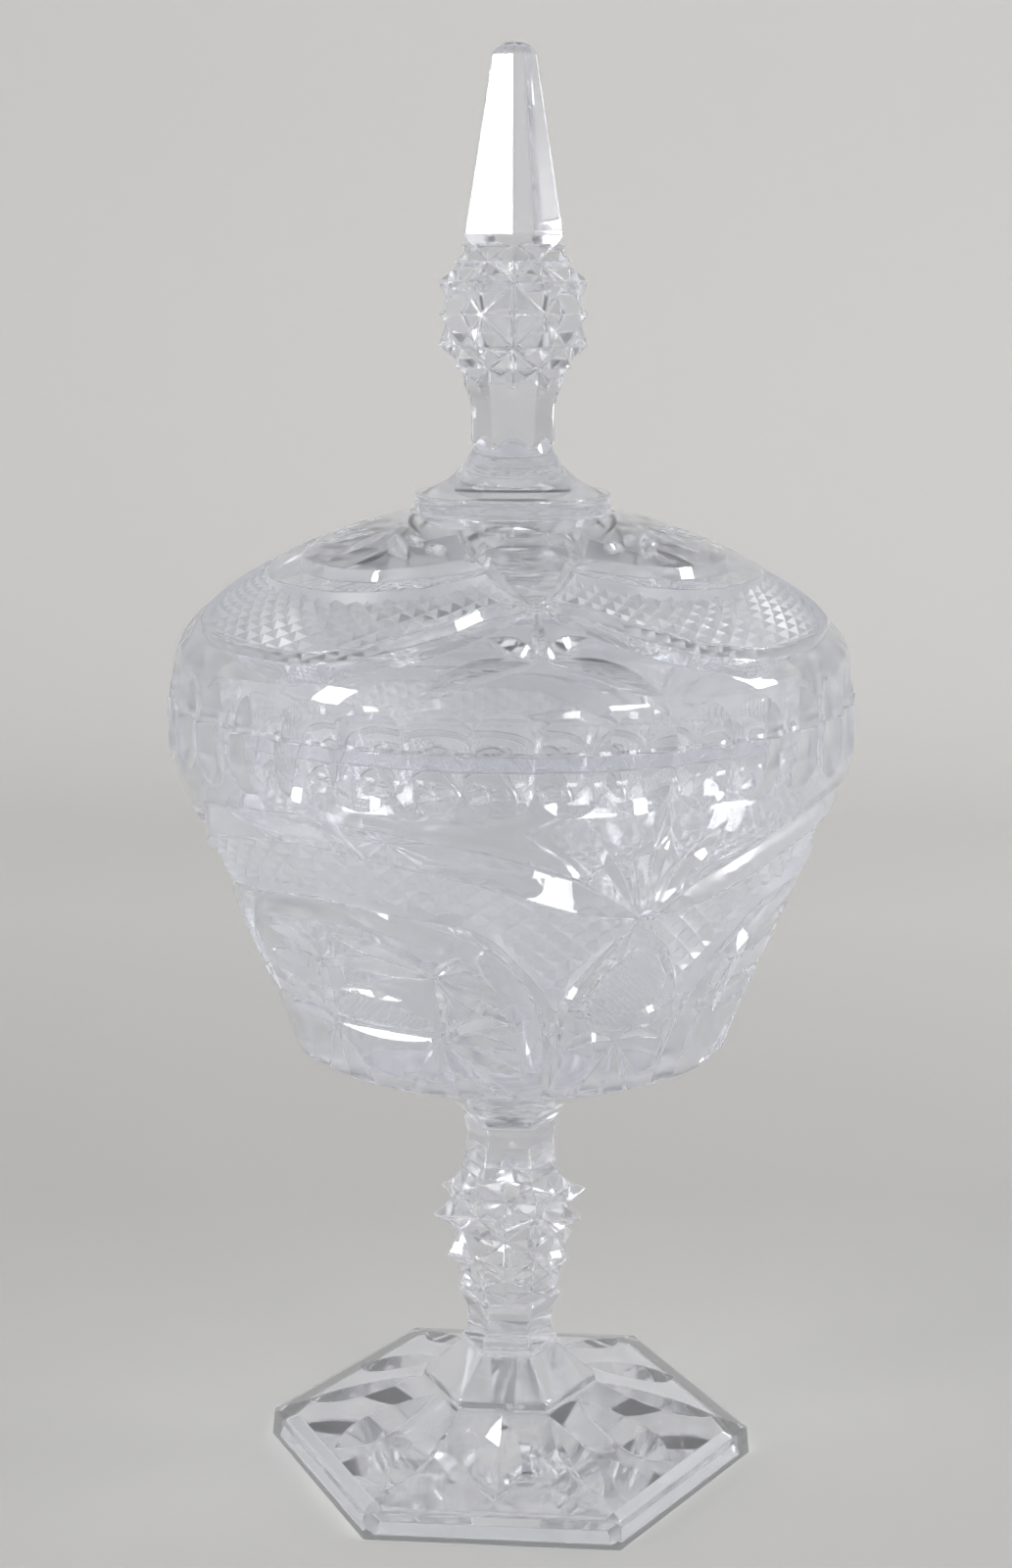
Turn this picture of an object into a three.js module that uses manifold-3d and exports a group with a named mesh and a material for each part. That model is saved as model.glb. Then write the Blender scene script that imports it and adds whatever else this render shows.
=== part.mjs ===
// Covered compote in pressed and cut crystal: a hexagonal foot, a knopped stem and a
// deep bowl, with a domed cover that lifts off by its spired finial.
// Millimetres, +Z up, the front towards -Y. The origin is the centre of the foot's base.

import * as THREE from 'three';
import { mergeVertices } from 'three/addons/utils/BufferGeometryUtils.js';
import Module from 'manifold-3d';

const wasm = await Module();
wasm.setup();

// Foot
const SIDES = 6;
const FOOT_TURN = -4.6; // degrees, the foot and stem against the front
const FOOT_BASE_RADIUS = 71;
const FOOT_EDGE_TAPER = 0.8;
const FOOT_EDGE_HEIGHT = 8.6;
const FOOT_RISE = 12.4;
const HUB_RADIUS = 25.7;
const HUB_TAPER = 0.5;
const HUB_STEP = 2.8;
const HUB_RISE = 9.2;
const FOOT_RIM_WIDTH = 6;
const FOOT_RECESS = 3;
const PETAL_LENGTH = 31;
const PETAL_WIDTH = 16;
const PETAL_DEPTH = 2.4;
const PETAL_PEAK = 0.62; // share of the length where a cut is deepest
const LEAF_LENGTH = 32;
const LEAF_WIDTH = 9;
const LEAF_DEPTH = 1.8;
const LEAF_PEAK = 0.5;
const LEAF_MARGIN = 2;

// Stem, up from the foot: height of each ring above the one below, then its radius at the
// middle of a flat and at a corner. valley names the column where the cuts cross.
const STEM_FOOT_RADIUS = 14.1;
const STEM_NECK_RADIUS = 12.2;
const STEM_HEAD_RADIUS = 16.6;
const STEM_RINGS = [
  { step: 2, flat: 12.2, corner: 14.1 },
  { step: 4, flat: 10.6, corner: 12.2 },
  { step: 5, flat: 11, corner: 12.7 },
  { step: 6.5, flat: 13.1, corner: 14.6, valley: 'flat' },
  { step: 3, flat: 14.2, corner: 15.2 },
  { step: 4.3, flat: 15, corner: 15.4, valley: 'flat' },
  { step: 5.5, flat: 20.2, corner: 16.1, valley: 'corner' },
  { step: 6.5, flat: 16, corner: 15.3, valley: 'flat' },
  { step: 6.5, flat: 25, corner: 16.6, valley: 'corner' },
  { step: 5.4, flat: 15.6, corner: 18, valley: 'flat' },
  { step: 3.6, flat: 14, corner: 14.2, valley: 'corner' },
  { step: 2, flat: 13.3, corner: 14.5 },
  { step: 3, flat: 12.1, corner: 13.2 },
  { step: 6, flat: 10.9, corner: 12.6 },
  { step: 6, flat: 12, corner: 13.6 },
];
const STEM_FLARE_RISE = 4.7;
const STEM_SEAT_RISE = 6;
const STEM_SEAT_COVE = 2; // how far the curve under the bowl is drawn in
const STEM_SEAT_LIP = 1;

// Bowl
const BOWL_SEAT_RADIUS = 25;
const BOWL_RIM_RADIUS = 95;
const BOWL_HEIGHT = 113.9;
const BOWL_BAND_DEPTH = 13;
const BOWL_SHOULDER_DEPTH = 35;
const BOWL_SHOULDER_INSET = 7.8;
const BOWL_EDGE_RADIUS = 61.2;
const BOWL_EDGE_HEIGHT = 15.5;
const BOWL_WALL = 6.2;
const BOWL_FLOOR = 11;
const BOWL_FLOOR_CORNER = 9;
const BOWL_FLOOR_SHOULDER = 24; // how far in from the wall the floor is level
const BOWL_FLOOR_COVE = 12;
const BOWL_FLOOR_RISE = 7;
const BOWL_FLOOR_LEAN = 3;

// How far the bowl's curves are pulled from the points where they start and end
const FLANK_SWELL = 6.3;
const FLANK_TUCK = 7.9;
const FLANK_SHARE = 0.3;
const CHEST_SWELL = 3;
const CHEST_RISE = 9;
const CHEST_EASE = 5;
const HOLLOW_TUCK = 4;
const HOLLOW_SWELL = 9;
const HOLLOW_RISE = 24;

// Cover
const LID_EDGE_INSET = 0.2;
const LID_HEIGHT = 49.9;
const LID_BAND_HEIGHT = 10.3;
const LID_WALL = 6.4;
const LID_TOP_RADIUS = 28;
const LID_FLANGE_DROP = 5;
const LID_FLANGE_WIDTH = 3.4;
const LID_FIT_CLEARANCE = 0.8;
const LID_BAND_TAPER = 1.6;
const LID_CROWN_EXTRA = 0.8; // the wall is thicker by this under the finial

// The cover's dome and its hollow, as shares of their own run and rise
const DOME_FOOT_RUN = 0.03;
const DOME_FOOT_RISE = 0.37;
const DOME_TOP_RUN = 0.495;
const DOME_TOP_DROP = 0.19;
const CEILING_RUN = 0.6;
const CEILING_DROP = 0.35;
const CEILING_TUCK = 2;

// Thumbprint band on both sides of the joint
const THUMBPRINTS = 34;
const THUMBPRINT_WIDTH = 17.2;
const THUMBPRINT_DEPTH = 1.8;
const LID_THUMBPRINT_HEIGHT = 13;
const BOWL_THUMBPRINT_HEIGHT = 15;
const LID_THUMBPRINT_TURN = -1;
const BOWL_THUMBPRINT_TURN = -2;

// Garland round bowl and cover: three arches each, with a star between two arches. A place in
// it is an azimuth in degrees, from the middle of an arch or of a star to the right, and a
// share of the way up the outside. The left side mirrors the right.
const ARCHES = 3;
const BOWL_STAR_TURN = 23.8; // degrees, a star against the front
const LID_STAR_TURN = 4.5;
const BAND_DEPTH = 2.4;
const FIELD_DEPTH = 2.2;
const COLUMN_GAP = 8; // degrees between two columns of a cutter, at most
const CUT_STATIONS = 6;
const ARCH_STATIONS = 18;
const THIN_END = 0.04; // share of the full width that is left at a pointed end
const SLIVER = 0.05; // slivers that stand less than this off their neighbours join them

// Clear bands and fields of points, each row an azimuth and the shares of its two edges
const BOWL_BAND = [
  [0, 0.744, 0.828], [15, 0.715, 0.808], [23.6, 0.695, 0.788], [31, 0.669, 0.766],
  [36.5, 0.638, 0.739], [46.5, 0.584, 0.686], [54, 0.56, 0.605], [59.5, 0.542, 0.551],
];
const BOWL_FIELD = [
  [0, 0.587, 0.739], [15, 0.562, 0.71], [24, 0.547, 0.688], [28, 0.539, 0.674],
  [33, 0.499, 0.653], [36.2, 0.447, 0.634], [39.4, 0.395, 0.617], [42.6, 0.333, 0.599],
  [45.4, 0.265, 0.583], [47.5, 0.328, 0.576], [52.5, 0.431, 0.56], [58.5, 0.53, 0.54],
];
const LID_LOWER_BAND = [
  [0, 0.033, 0.158], [15, 0.049, 0.163], [24, 0.067, 0.19], [29, 0.101, 0.214],
  [34, 0.127, 0.258], [41, 0.178, 0.319], [48, 0.247, 0.401], [53, 0.309, 0.435],
  [58, 0.372, 0.427],
];
const LID_UPPER_BAND = [
  [0, 0.447, 0.572], [10, 0.448, 0.577], [20, 0.464, 0.593], [30, 0.495, 0.635],
  [40, 0.547, 0.683], [49, 0.625, 0.719],
];
const LID_FIELD = [
  [0, 0.164, 0.44], [14, 0.167, 0.444], [20, 0.178, 0.457], [28.5, 0.216, 0.483],
  [35, 0.273, 0.506], [43, 0.343, 0.562], [48.5, 0.414, 0.603], [51, 0.433, 0.562],
  [53.5, 0.443, 0.509], [56, 0.453, 0.464],
];

// Inner arch of the bowl: one clear band of even width that stands on both sides of the arch
const INNER_ARCH = {
  width: 7.6,
  path: [
    [-42, -0.03], [-41.5, 0.147], [-40, 0.24], [-37, 0.328], [-33, 0.4], [-27, 0.462],
    [-20, 0.504], [-10, 0.533], [0, 0.54], [10, 0.533], [20, 0.504], [27, 0.462],
    [33, 0.4], [37, 0.328], [40, 0.24], [41.5, 0.147], [42, -0.03],
  ],
};

// Pointed cuts, each along a path. Those of a star or an arch are mirrored about it, and a mast
// stands on the star itself.
const BOWL_STAR_CUTS = [
  { width: 3.2, depth: 1.5, path: [[1.2, 0.54], [7.5, 0.426], [12.5, 0.322], [14.2, 0.127], [14, 0.005]] },
  { width: 5.5, depth: 1.5, path: [[1.5, 0.561], [5, 0.674], [11.7, 0.818]] },
  { width: 3.4, depth: 1.4, path: [[0.8, 0.571], [4.5, 0.746]] },
  { width: 4.6, depth: 1.5, path: [[0.8, 0.168], [8.5, 0.025]] },
  { width: 3.6, depth: 1.3, path: [[1, 0.178], [12, 0.147]] },
];
const BOWL_STAR_MASTS = [
  { width: 4.2, depth: 1.6, path: [[0, 0.592], [0, 0.877]] },
  { width: 4.4, depth: 1.5, path: [[0, 0.168], [0, 0.015]] },
];
const BOWL_ARCH_CUTS = [
  { width: 5, depth: 1.5, path: [[18.7, 0.374], [1.5, 0.379]] },
  { width: 4.4, depth: 1.4, path: [[18.7, 0.374], [33, 0.322]] },
  { width: 3.2, depth: 1.3, path: [[18.7, 0.374], [18.7, 0.188]] },
  { width: 4.6, depth: 1.4, path: [[18.7, 0.188], [33, 0.178]] },
  { width: 4.6, depth: 1.5, path: [[18.7, 0.188], [10, 0.035]] },
  { width: 4.2, depth: 1.4, path: [[18.7, 0.188], [30, 0.056]] },
];
const LID_STAR_CUTS = [
  { width: 3.6, depth: 1.5, path: [[0.6, 0.423], [6.5, 0.53], [12.3, 0.669], [20.1, 0.804], [26, 0.89]] },
  { width: 6.6, depth: 1.9, path: [[1, 0.177], [9.5, 0.145], [19.3, 0.043]] },
  { width: 5.6, depth: 1.6, path: [[0.6, 0.18], [4.6, 0.24], [8.8, 0.275]] },
  { width: 4, depth: 1.5, path: [[28.2, 0.92], [14.1, 0.669]] },
  { width: 4.4, depth: 1.5, path: [[54.3, 0.833], [35.9, 0.669]] },
];
const LID_STAR_MASTS = [
  { width: 3.6, depth: 1.4, path: [[0, 0.391], [0, 0.177]] },
];

// Sections across a cut, as shares of its half width and of its depth
const V_SECTION = [[-1, 0], [0, 1], [1, 0]];
const BAND_SECTION = [[-1, 0], [-0.3, 0.58], [0.5, 1], [1, 0]]; // a long slope up to a steep edge
const FIELD_SECTION = [[-1, 0], [-0.95, 1], [0.95, 1], [1, 0]];

// Finial
const COLLAR_RADIUS = 26.8;
const COLLAR_HEIGHT = 5.2;
const COLLAR_EDGE = 1.2;
const FLARE_RISE = 14.6;
const FINIAL_NECK_RADIUS = 11.4;
const COLLAR_COVE_RUN = 8;
const COLLAR_COVE_RISE = 1.5;
const NECK_COVE_RUN = 1;
const NECK_COVE_DROP = 8;
const COLUMN_SINK = 2; // how far the six-sided column reaches down into the flare
const FINIAL_RINGS = [
  { step: 9.7, flat: 9.9, corner: 11.4 },
  { step: 3.5, flat: 10.2, corner: 12 },
  { step: 3.7, flat: 11.2, corner: 13.6, valley: 'flat' },
  { step: 4.4, flat: 17.9, corner: 13.7, valley: 'corner' },
  { step: 5.5, flat: 16, corner: 20.3, valley: 'flat' },
  { step: 8.7, flat: 23, corner: 17.3, valley: 'corner' },
  { step: 8.5, flat: 16, corner: 20.3, valley: 'flat' },
  { step: 5.3, flat: 18, corner: 13.6, valley: 'corner' },
  { step: 4.6, flat: 12.4, corner: 14.2, valley: 'flat' },
];
const SPIRE_LIP = 2.2;
const SPIRE_BASE_RADIUS = 15.2;
const SPIRE_HEIGHT = 46.9;
const SPIRE_TOP_RADIUS = 6.8;
const SPIRE_TIP_RISE = 2;
const SPIRE_TIP_RADIUS = 4.6;
const SPIRE_CROWN_RISE = 0.9;
const SPIRE_CROWN_RADIUS = 2.4;

const ROUND_SEGMENTS = 60;
const SMALL_ROUND_SEGMENTS = 36;
const OVERLAP = 0.5; // how far solids that are joined reach into each other
const CUT_HEADROOM = 1.5; // how far a cutter reaches above the surface that it cuts

const { degToRad } = THREE.MathUtils;
const COS_HALF_SIDE = Math.cos(Math.PI / SIDES);

// A point at a radius, at an azimuth in radians from the front, and at a height.
function around(radius, azimuth, height) {
  return new THREE.Vector3(radius * Math.sin(azimuth), -radius * Math.cos(azimuth), height);
}

// Closed three.js geometry to a solid that can be joined and cut.
function toSolid(geometry) {
  const bare = geometry.clone();
  bare.deleteAttribute('normal');
  bare.deleteAttribute('uv');
  const merged = mergeVertices(bare);
  const corners = merged.index.array;
  const kept = [];
  for (let i = 0; i < corners.length; i += 3) {
    const triangle = [corners[i], corners[i + 1], corners[i + 2]];
    if (new Set(triangle).size === 3) {
      kept.push(...triangle);
    }
  }
  return new wasm.Manifold(new wasm.Mesh({
    numProp: 3,
    vertProperties: Float32Array.from(merged.attributes.position.array),
    triVerts: Uint32Array.from(kept),
  }));
}

function toGeometry(solid) {
  const mesh = solid.getMesh();
  const geometry = new THREE.BufferGeometry();
  geometry.setAttribute('position', new THREE.BufferAttribute(mesh.vertProperties, 3));
  geometry.setIndex(new THREE.BufferAttribute(mesh.triVerts, 1));
  geometry.computeVertexNormals();
  return geometry;
}

// Turns an outline of [radius, height] pairs about +Z. The outline runs anticlockwise.
function turned(outline, segments = ROUND_SEGMENTS) {
  const points = outline.map(([radius, height]) => new THREE.Vector2(radius, height));
  const geometry = new THREE.LatheGeometry(points, segments);
  geometry.rotateX(Math.PI / 2);
  return toSolid(geometry);
}

// Points along a cubic curve between two [radius, height] pairs, without the first one.
function curve(from, pullFrom, pullTo, to, pieces) {
  const points = [from, pullFrom, pullTo, to].map((p) => new THREE.Vector2(...p));
  const path = new THREE.CubicBezierCurve(...points);
  return path.getPoints(pieces).slice(1).map((p) => [p.x, p.y]);
}

// Closed solid through rings of points, from the lowest ring to the highest. Each ring has
// the same number of points, and diagonal says which way the quad above point i is split.
function stackedRings(rings, diagonal) {
  const count = rings[0].length;
  const positions = rings.flatMap((ring) => ring.flatMap((p) => p.toArray()));
  const bottom = rings.length * count;
  const top = bottom + 1;
  const middle = (ring) => [0, 0, ring[0].z];
  positions.push(...middle(rings[0]), ...middle(rings[rings.length - 1]));
  const triangles = [];
  for (let i = 0; i < count; i += 1) {
    const next = (i + 1) % count;
    triangles.push(bottom, next, i);
    triangles.push(top, (rings.length - 1) * count + i, (rings.length - 1) * count + next);
  }
  for (let row = 0; row < rings.length - 1; row += 1) {
    for (let i = 0; i < count; i += 1) {
      const next = (i + 1) % count;
      const [a, b] = [row * count + i, row * count + next];
      const [c, d] = [b + count, a + count];
      triangles.push(...(diagonal(row, i) ? [a, b, c, a, c, d] : [a, b, d, b, c, d]));
    }
  }
  const geometry = new THREE.BufferGeometry();
  geometry.setAttribute('position', new THREE.Float32BufferAttribute(positions, 3));
  geometry.setIndex(triangles);
  return toSolid(geometry);
}

// Hexagonal solid with cut diamonds: each ring alternates the middle of a flat and a corner.
// Where a ring has a valley column, the quads above it are split from valley to valley.
function facetedColumn(rings, base, turn) {
  let height = base;
  const points = rings.map((ring) => {
    height += ring.step;
    return Array.from({ length: 2 * SIDES }, (_, i) => {
      const radius = i % 2 ? ring.corner : ring.flat;
      return around(radius, degToRad(turn) + (i * Math.PI) / SIDES, height);
    });
  });
  return stackedRings(points, (row, i) => (rings[row].valley === 'corner' ? i % 2 === 1 : i % 2 === 0));
}

// Plain hexagonal stack of [corner radius, height] pairs. shift turns it by part of a side.
function hexagonStack(levels, turn, shift) {
  const rings = levels.map(([radius, height]) => Array.from({ length: SIDES }, (_, i) => (
    around(radius, degToRad(turn) + ((i + shift) * 2 * Math.PI) / SIDES, height)
  )));
  return stackedRings(rings, () => true);
}

// Leaf-shaped V cut along +X, with its mouth in the plane z = 0. The deepest point lies
// at the share peak of the length, and the keel rises evenly from there to both tips.
function leafCutter(length, width, depth, peak) {
  const stations = 8;
  const reach = Math.sqrt((depth + CUT_HEADROOM) / depth);
  const rings = [];
  for (let i = 0; i <= stations; i += 1) {
    const share = -1 + (2 * i) / stations;
    const side = share < 0 ? peak : 1 - peak;
    const along = length * (peak + share * reach * side);
    const keel = -depth + (depth + CUT_HEADROOM) * share * share;
    const half = Math.max(1e-3, ((CUT_HEADROOM - keel) * width) / (2 * depth));
    const lowest = Math.min(keel, CUT_HEADROOM - 1e-3);
    rings.push([[along, -half, CUT_HEADROOM], [along, 0, lowest], [along, half, CUT_HEADROOM]]);
  }
  const positions = rings.flat(2);
  const last = 3 * stations;
  const triangles = [0, 2, 1, last, last + 1, last + 2];
  for (let i = 0; i < last; i += 3) {
    triangles.push(i, i + 1, i + 4, i, i + 4, i + 3);
    triangles.push(i + 1, i + 2, i + 5, i + 1, i + 5, i + 4);
    triangles.push(i + 2, i, i + 3, i + 2, i + 3, i + 5);
  }
  const geometry = new THREE.BufferGeometry();
  geometry.setAttribute('position', new THREE.Float32BufferAttribute(positions, 3));
  geometry.setIndex(triangles);
  return geometry;
}

// Rounded scoop for one thumbprint: a capsule whose shallow side cuts the wall. It leans in
// with the wall, by lean in radians.
function thumbprintCutter(straight, lean) {
  const radius = (THUMBPRINT_WIDTH ** 2 / 4 + THUMBPRINT_DEPTH ** 2) / (2 * THUMBPRINT_DEPTH);
  const geometry = new THREE.CapsuleGeometry(radius, 2 * straight, 6, 32);
  geometry.rotateX(Math.PI / 2);
  geometry.translate(0, THUMBPRINT_DEPTH - radius, 0);
  geometry.rotateX(-lean);
  return geometry;
}

// Takes one thumbprint off the wall and repeats it all round.
function withThumbprints(solid, wallRadius, height, straight, lean, turn) {
  const print = thumbprintCutter(straight, lean);
  let cut = solid;
  for (let i = 0; i < THUMBPRINTS; i += 1) {
    const azimuth = degToRad(turn) + (i * 2 * Math.PI) / THUMBPRINTS;
    const placed = print.clone();
    placed.translate(0, -wallRadius, height);
    placed.rotateZ(azimuth);
    cut = cut.subtract(toSolid(placed));
  }
  return cut;
}

// The outside of a turned piece, from the lower end of its outline to the upper end. It gives
// the length of the way up and, at a share of that way, the point and the way out of the glass.
function makeSkin(outline) {
  const points = outline.map((pair) => new THREE.Vector2(...pair));
  const ways = [0];
  for (let i = 1; i < points.length; i += 1) {
    ways.push(ways[i - 1] + points[i].distanceTo(points[i - 1]));
  }
  const outwards = points.map((_, i) => {
    const before = points[Math.max(i - 1, 0)];
    const after = points[Math.min(i + 1, points.length - 1)];
    const along = after.clone().sub(before).normalize();
    return new THREE.Vector2(along.y, -along.x);
  });
  const length = ways[ways.length - 1];
  const at = (share) => {
    const way = share * length;
    const beyond = ways.findIndex((each, i) => i > 0 && each >= way);
    const end = beyond < 0 ? ways.length - 1 : beyond;
    const part = (way - ways[end - 1]) / (ways[end] - ways[end - 1]);
    return {
      point: points[end - 1].clone().lerp(points[end], part),
      out: outwards[end - 1].clone().lerp(outwards[end], part).normalize(),
    };
  };
  return { length, at };
}

// The point at a place on a skin, lifted out of the glass.
function onSkin(skin, [azimuth, share], lift) {
  const { point, out } = skin.at(share);
  return around(point.x + lift * out.x, degToRad(azimuth), point.y + lift * out.y);
}

// Closed cutter between a sheet below the skin and one above it. Each column of the sheet is a
// list of places, each an azimuth, a share of the way and a depth.
function skinCutter(skin, columns) {
  const rows = columns[0].length;
  const places = columns.flat();
  const under = places.map(([azimuth, share, depth]) => onSkin(skin, [azimuth, share], -depth));
  const over = places.map((place) => onSkin(skin, place, CUT_HEADROOM));
  const above = places.length;
  const triangles = [];
  const quad = (a, b, c, d) => triangles.push(a, b, c, a, c, d);
  for (let column = 0; column < columns.length - 1; column += 1) {
    const start = column * rows;
    for (let a = start; a < start + rows - 1; a += 1) {
      quad(a, a + 1, a + rows + 1, a + rows);
      quad(above + a, above + a + rows, above + a + rows + 1, above + a + 1);
    }
    const end = start + rows - 1;
    quad(start, start + rows, above + start + rows, above + start);
    quad(end + rows, end, above + end, above + end + rows);
  }
  const last = places.length - rows;
  for (let row = 0; row < rows - 1; row += 1) {
    quad(row + 1, row, above + row, above + row + 1);
    quad(last + row, last + row + 1, above + last + row + 1, above + last + row);
  }
  const geometry = new THREE.BufferGeometry();
  const positions = [...under, ...over].flatMap((p) => p.toArray());
  geometry.setAttribute('position', new THREE.Float32BufferAttribute(positions, 3));
  geometry.setIndex(triangles);
  const solid = toSolid(geometry);
  return solid;
}

// Cutter of a strip of the skin between two lines, the same to both sides of azimuth 0.
function stripCutter(skin, strip, section, depth, turn) {
  const mirror = strip.slice(1).reverse().map(([azimuth, low, high]) => [-azimuth, low, high]);
  const whole = [...mirror, ...strip];
  const columns = [];
  whole.forEach((row, i) => {
    const before = whole[Math.max(i - 1, 0)];
    const steps = Math.max(Math.ceil((row[0] - before[0]) / COLUMN_GAP), 1);
    for (let step = 1; step <= steps; step += 1) {
      const [azimuth, low, high] = row.map((value, k) => before[k] + ((value - before[k]) * step) / steps);
      columns.push(section.map(([across, deep]) => [
        azimuth + turn, low + ((high - low) * (across + 1)) / 2, deep * depth,
      ]));
    }
  });
  return skinCutter(skin, columns);
}

// Cutter along a smooth path over the skin, with pointed or even ends.
function pathCutter(skin, path, width, depth, stations, section, turn) {
  const line = new THREE.SplineCurve(path.map((place) => new THREE.Vector2(...place)));
  const pointed = section === V_SECTION;
  const columns = [];
  for (let i = 0; i <= stations; i += 1) {
    const t = i / stations;
    const place = line.getPoint(t);
    const perDegree = degToRad(skin.at(place.y).point.x);
    const ahead = line.getTangent(t);
    ahead.set(ahead.x * perDegree, ahead.y * skin.length).normalize();
    const fullness = pointed ? Math.max(1 - (2 * t - 1) ** 2, THIN_END) : 1;
    const half = (fullness * width) / 2;
    columns.push(section.map(([across, deep]) => [
      place.x + turn - (across * half * ahead.y) / perDegree,
      place.y + (across * half * ahead.x) / skin.length,
      deep * fullness * depth,
    ]));
  }
  return skinCutter(skin, columns);
}

// Takes a cutter off a solid, once for each arch.
function cutForEachArch(solid, cutter) {
  let cut = solid;
  for (let i = 0; i < ARCHES; i += 1) {
    cut = cut.subtract(cutter.rotate([0, 0, (i * 360) / ARCHES]));
  }
  return cut;
}

// Takes pointed cuts off a solid for each arch. sides holds 1 for a cut as it is given and -1
// for its mirror image.
function withPointedCuts(solid, skin, cuts, turn, sides) {
  let cut = solid;
  for (const { width, depth, path } of cuts) {
    for (const side of sides) {
      const sided = path.map(([azimuth, share]) => [side * azimuth, share]);
      const cutter = pathCutter(skin, sided, width, depth, CUT_STATIONS, V_SECTION, turn);
      cut = cutForEachArch(cut, cutter);
    }
  }
  return cut;
}

function named(name, solid, material) {
  const mesh = new THREE.Mesh(toGeometry(solid), material);
  mesh.name = name;
  return mesh;
}

// Clear lead crystal. Each pressing has its own, because each is melted and polished apart.
function crystal(color) {
  return new THREE.MeshStandardMaterial({
    color, roughness: 0.03, metalness: 0, transparent: true, opacity: 0.35,
  });
}

const footEdgeRadius = FOOT_BASE_RADIUS - FOOT_EDGE_TAPER;
const hubBase = FOOT_EDGE_HEIGHT + FOOT_RISE;
const footTop = hubBase + HUB_STEP + HUB_RISE;
const stemSeat = STEM_RINGS.reduce((sum, ring) => sum + ring.step, footTop);
const bowlBase = stemSeat + STEM_FLARE_RISE + STEM_SEAT_RISE;
const joint = bowlBase + BOWL_HEIGHT;
const lidTop = joint + LID_HEIGHT;

// Foot: a low hexagonal pyramid, hollow below, with a petal to each side and a leaf to
// each corner.
function footSlope() {
  const run = (footEdgeRadius - HUB_RADIUS) * COS_HALF_SIDE;
  return Math.atan2(FOOT_RISE, run);
}

function footLeaf(length, width, depth, peak, inner, cornerShare, azimuth) {
  const geometry = leafCutter(length, width, depth, peak);
  geometry.rotateY(footSlope() * cornerShare);
  const start = inner - HUB_RADIUS * COS_HALF_SIDE;
  const height = hubBase - start * Math.tan(footSlope()) * cornerShare;
  geometry.translate(inner, 0, height);
  geometry.rotateZ(azimuth - Math.PI / 2);
  return toSolid(geometry);
}

function makeFoot() {
  let foot = hexagonStack([
    [FOOT_BASE_RADIUS, 0],
    [footEdgeRadius, FOOT_EDGE_HEIGHT],
    [HUB_RADIUS, hubBase],
    [HUB_RADIUS - HUB_TAPER, hubBase + HUB_STEP],
    [STEM_FOOT_RADIUS, footTop],
  ], FOOT_TURN, 0.5);
  const recess = hexagonStack([
    [FOOT_BASE_RADIUS - FOOT_RIM_WIDTH, -OVERLAP],
    [FOOT_BASE_RADIUS - FOOT_RIM_WIDTH - FOOT_RECESS, FOOT_RECESS],
  ], FOOT_TURN, 0.5);
  foot = foot.subtract(recess);
  for (let i = 0; i < SIDES; i += 1) {
    const toSide = degToRad(FOOT_TURN) + (i * 2 * Math.PI) / SIDES;
    const toCorner = toSide + Math.PI / SIDES;
    const petalStart = HUB_RADIUS * COS_HALF_SIDE + LEAF_MARGIN;
    const leafStart = HUB_RADIUS + LEAF_MARGIN;
    foot = foot.subtract(footLeaf(PETAL_LENGTH, PETAL_WIDTH, PETAL_DEPTH, PETAL_PEAK, petalStart, 1, toSide));
    foot = foot.subtract(
      footLeaf(LEAF_LENGTH, LEAF_WIDTH, LEAF_DEPTH, LEAF_PEAK, leafStart, COS_HALF_SIDE, toCorner),
    );
  }
  return named('foot', foot, crystal(0xe6eaf0));
}

// Stem: the rings from foot to neck, then a flare that turns round under the bowl.
function makeStem() {
  const column = facetedColumn(
    [{ step: 0, flat: STEM_FOOT_RADIUS * COS_HALF_SIDE, corner: STEM_FOOT_RADIUS }, ...STEM_RINGS],
    footTop,
    FOOT_TURN,
  );
  const flare = facetedColumn([
    { step: 0, flat: STEM_NECK_RADIUS * COS_HALF_SIDE, corner: STEM_NECK_RADIUS },
    { step: STEM_FLARE_RISE + OVERLAP, flat: STEM_HEAD_RADIUS * COS_HALF_SIDE, corner: STEM_HEAD_RADIUS },
    { step: OVERLAP, flat: STEM_HEAD_RADIUS * COS_HALF_SIDE, corner: STEM_HEAD_RADIUS },
  ], stemSeat - OVERLAP, FOOT_TURN);
  const seatBase = stemSeat + STEM_FLARE_RISE;
  const seat = turned([
    [0, seatBase],
    [STEM_HEAD_RADIUS * COS_HALF_SIDE, seatBase],
    ...curve(
      [STEM_HEAD_RADIUS * COS_HALF_SIDE, seatBase],
      [STEM_HEAD_RADIUS, seatBase + STEM_SEAT_RISE / 2],
      [STEM_HEAD_RADIUS + STEM_SEAT_COVE, bowlBase - STEM_SEAT_LIP],
      [BOWL_SEAT_RADIUS, bowlBase],
      5,
    ),
    [0, bowlBase],
  ], SMALL_ROUND_SEGMENTS);
  return named('stem', column.add(flare).add(seat), crystal(0xe9ecf1));
}

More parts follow.
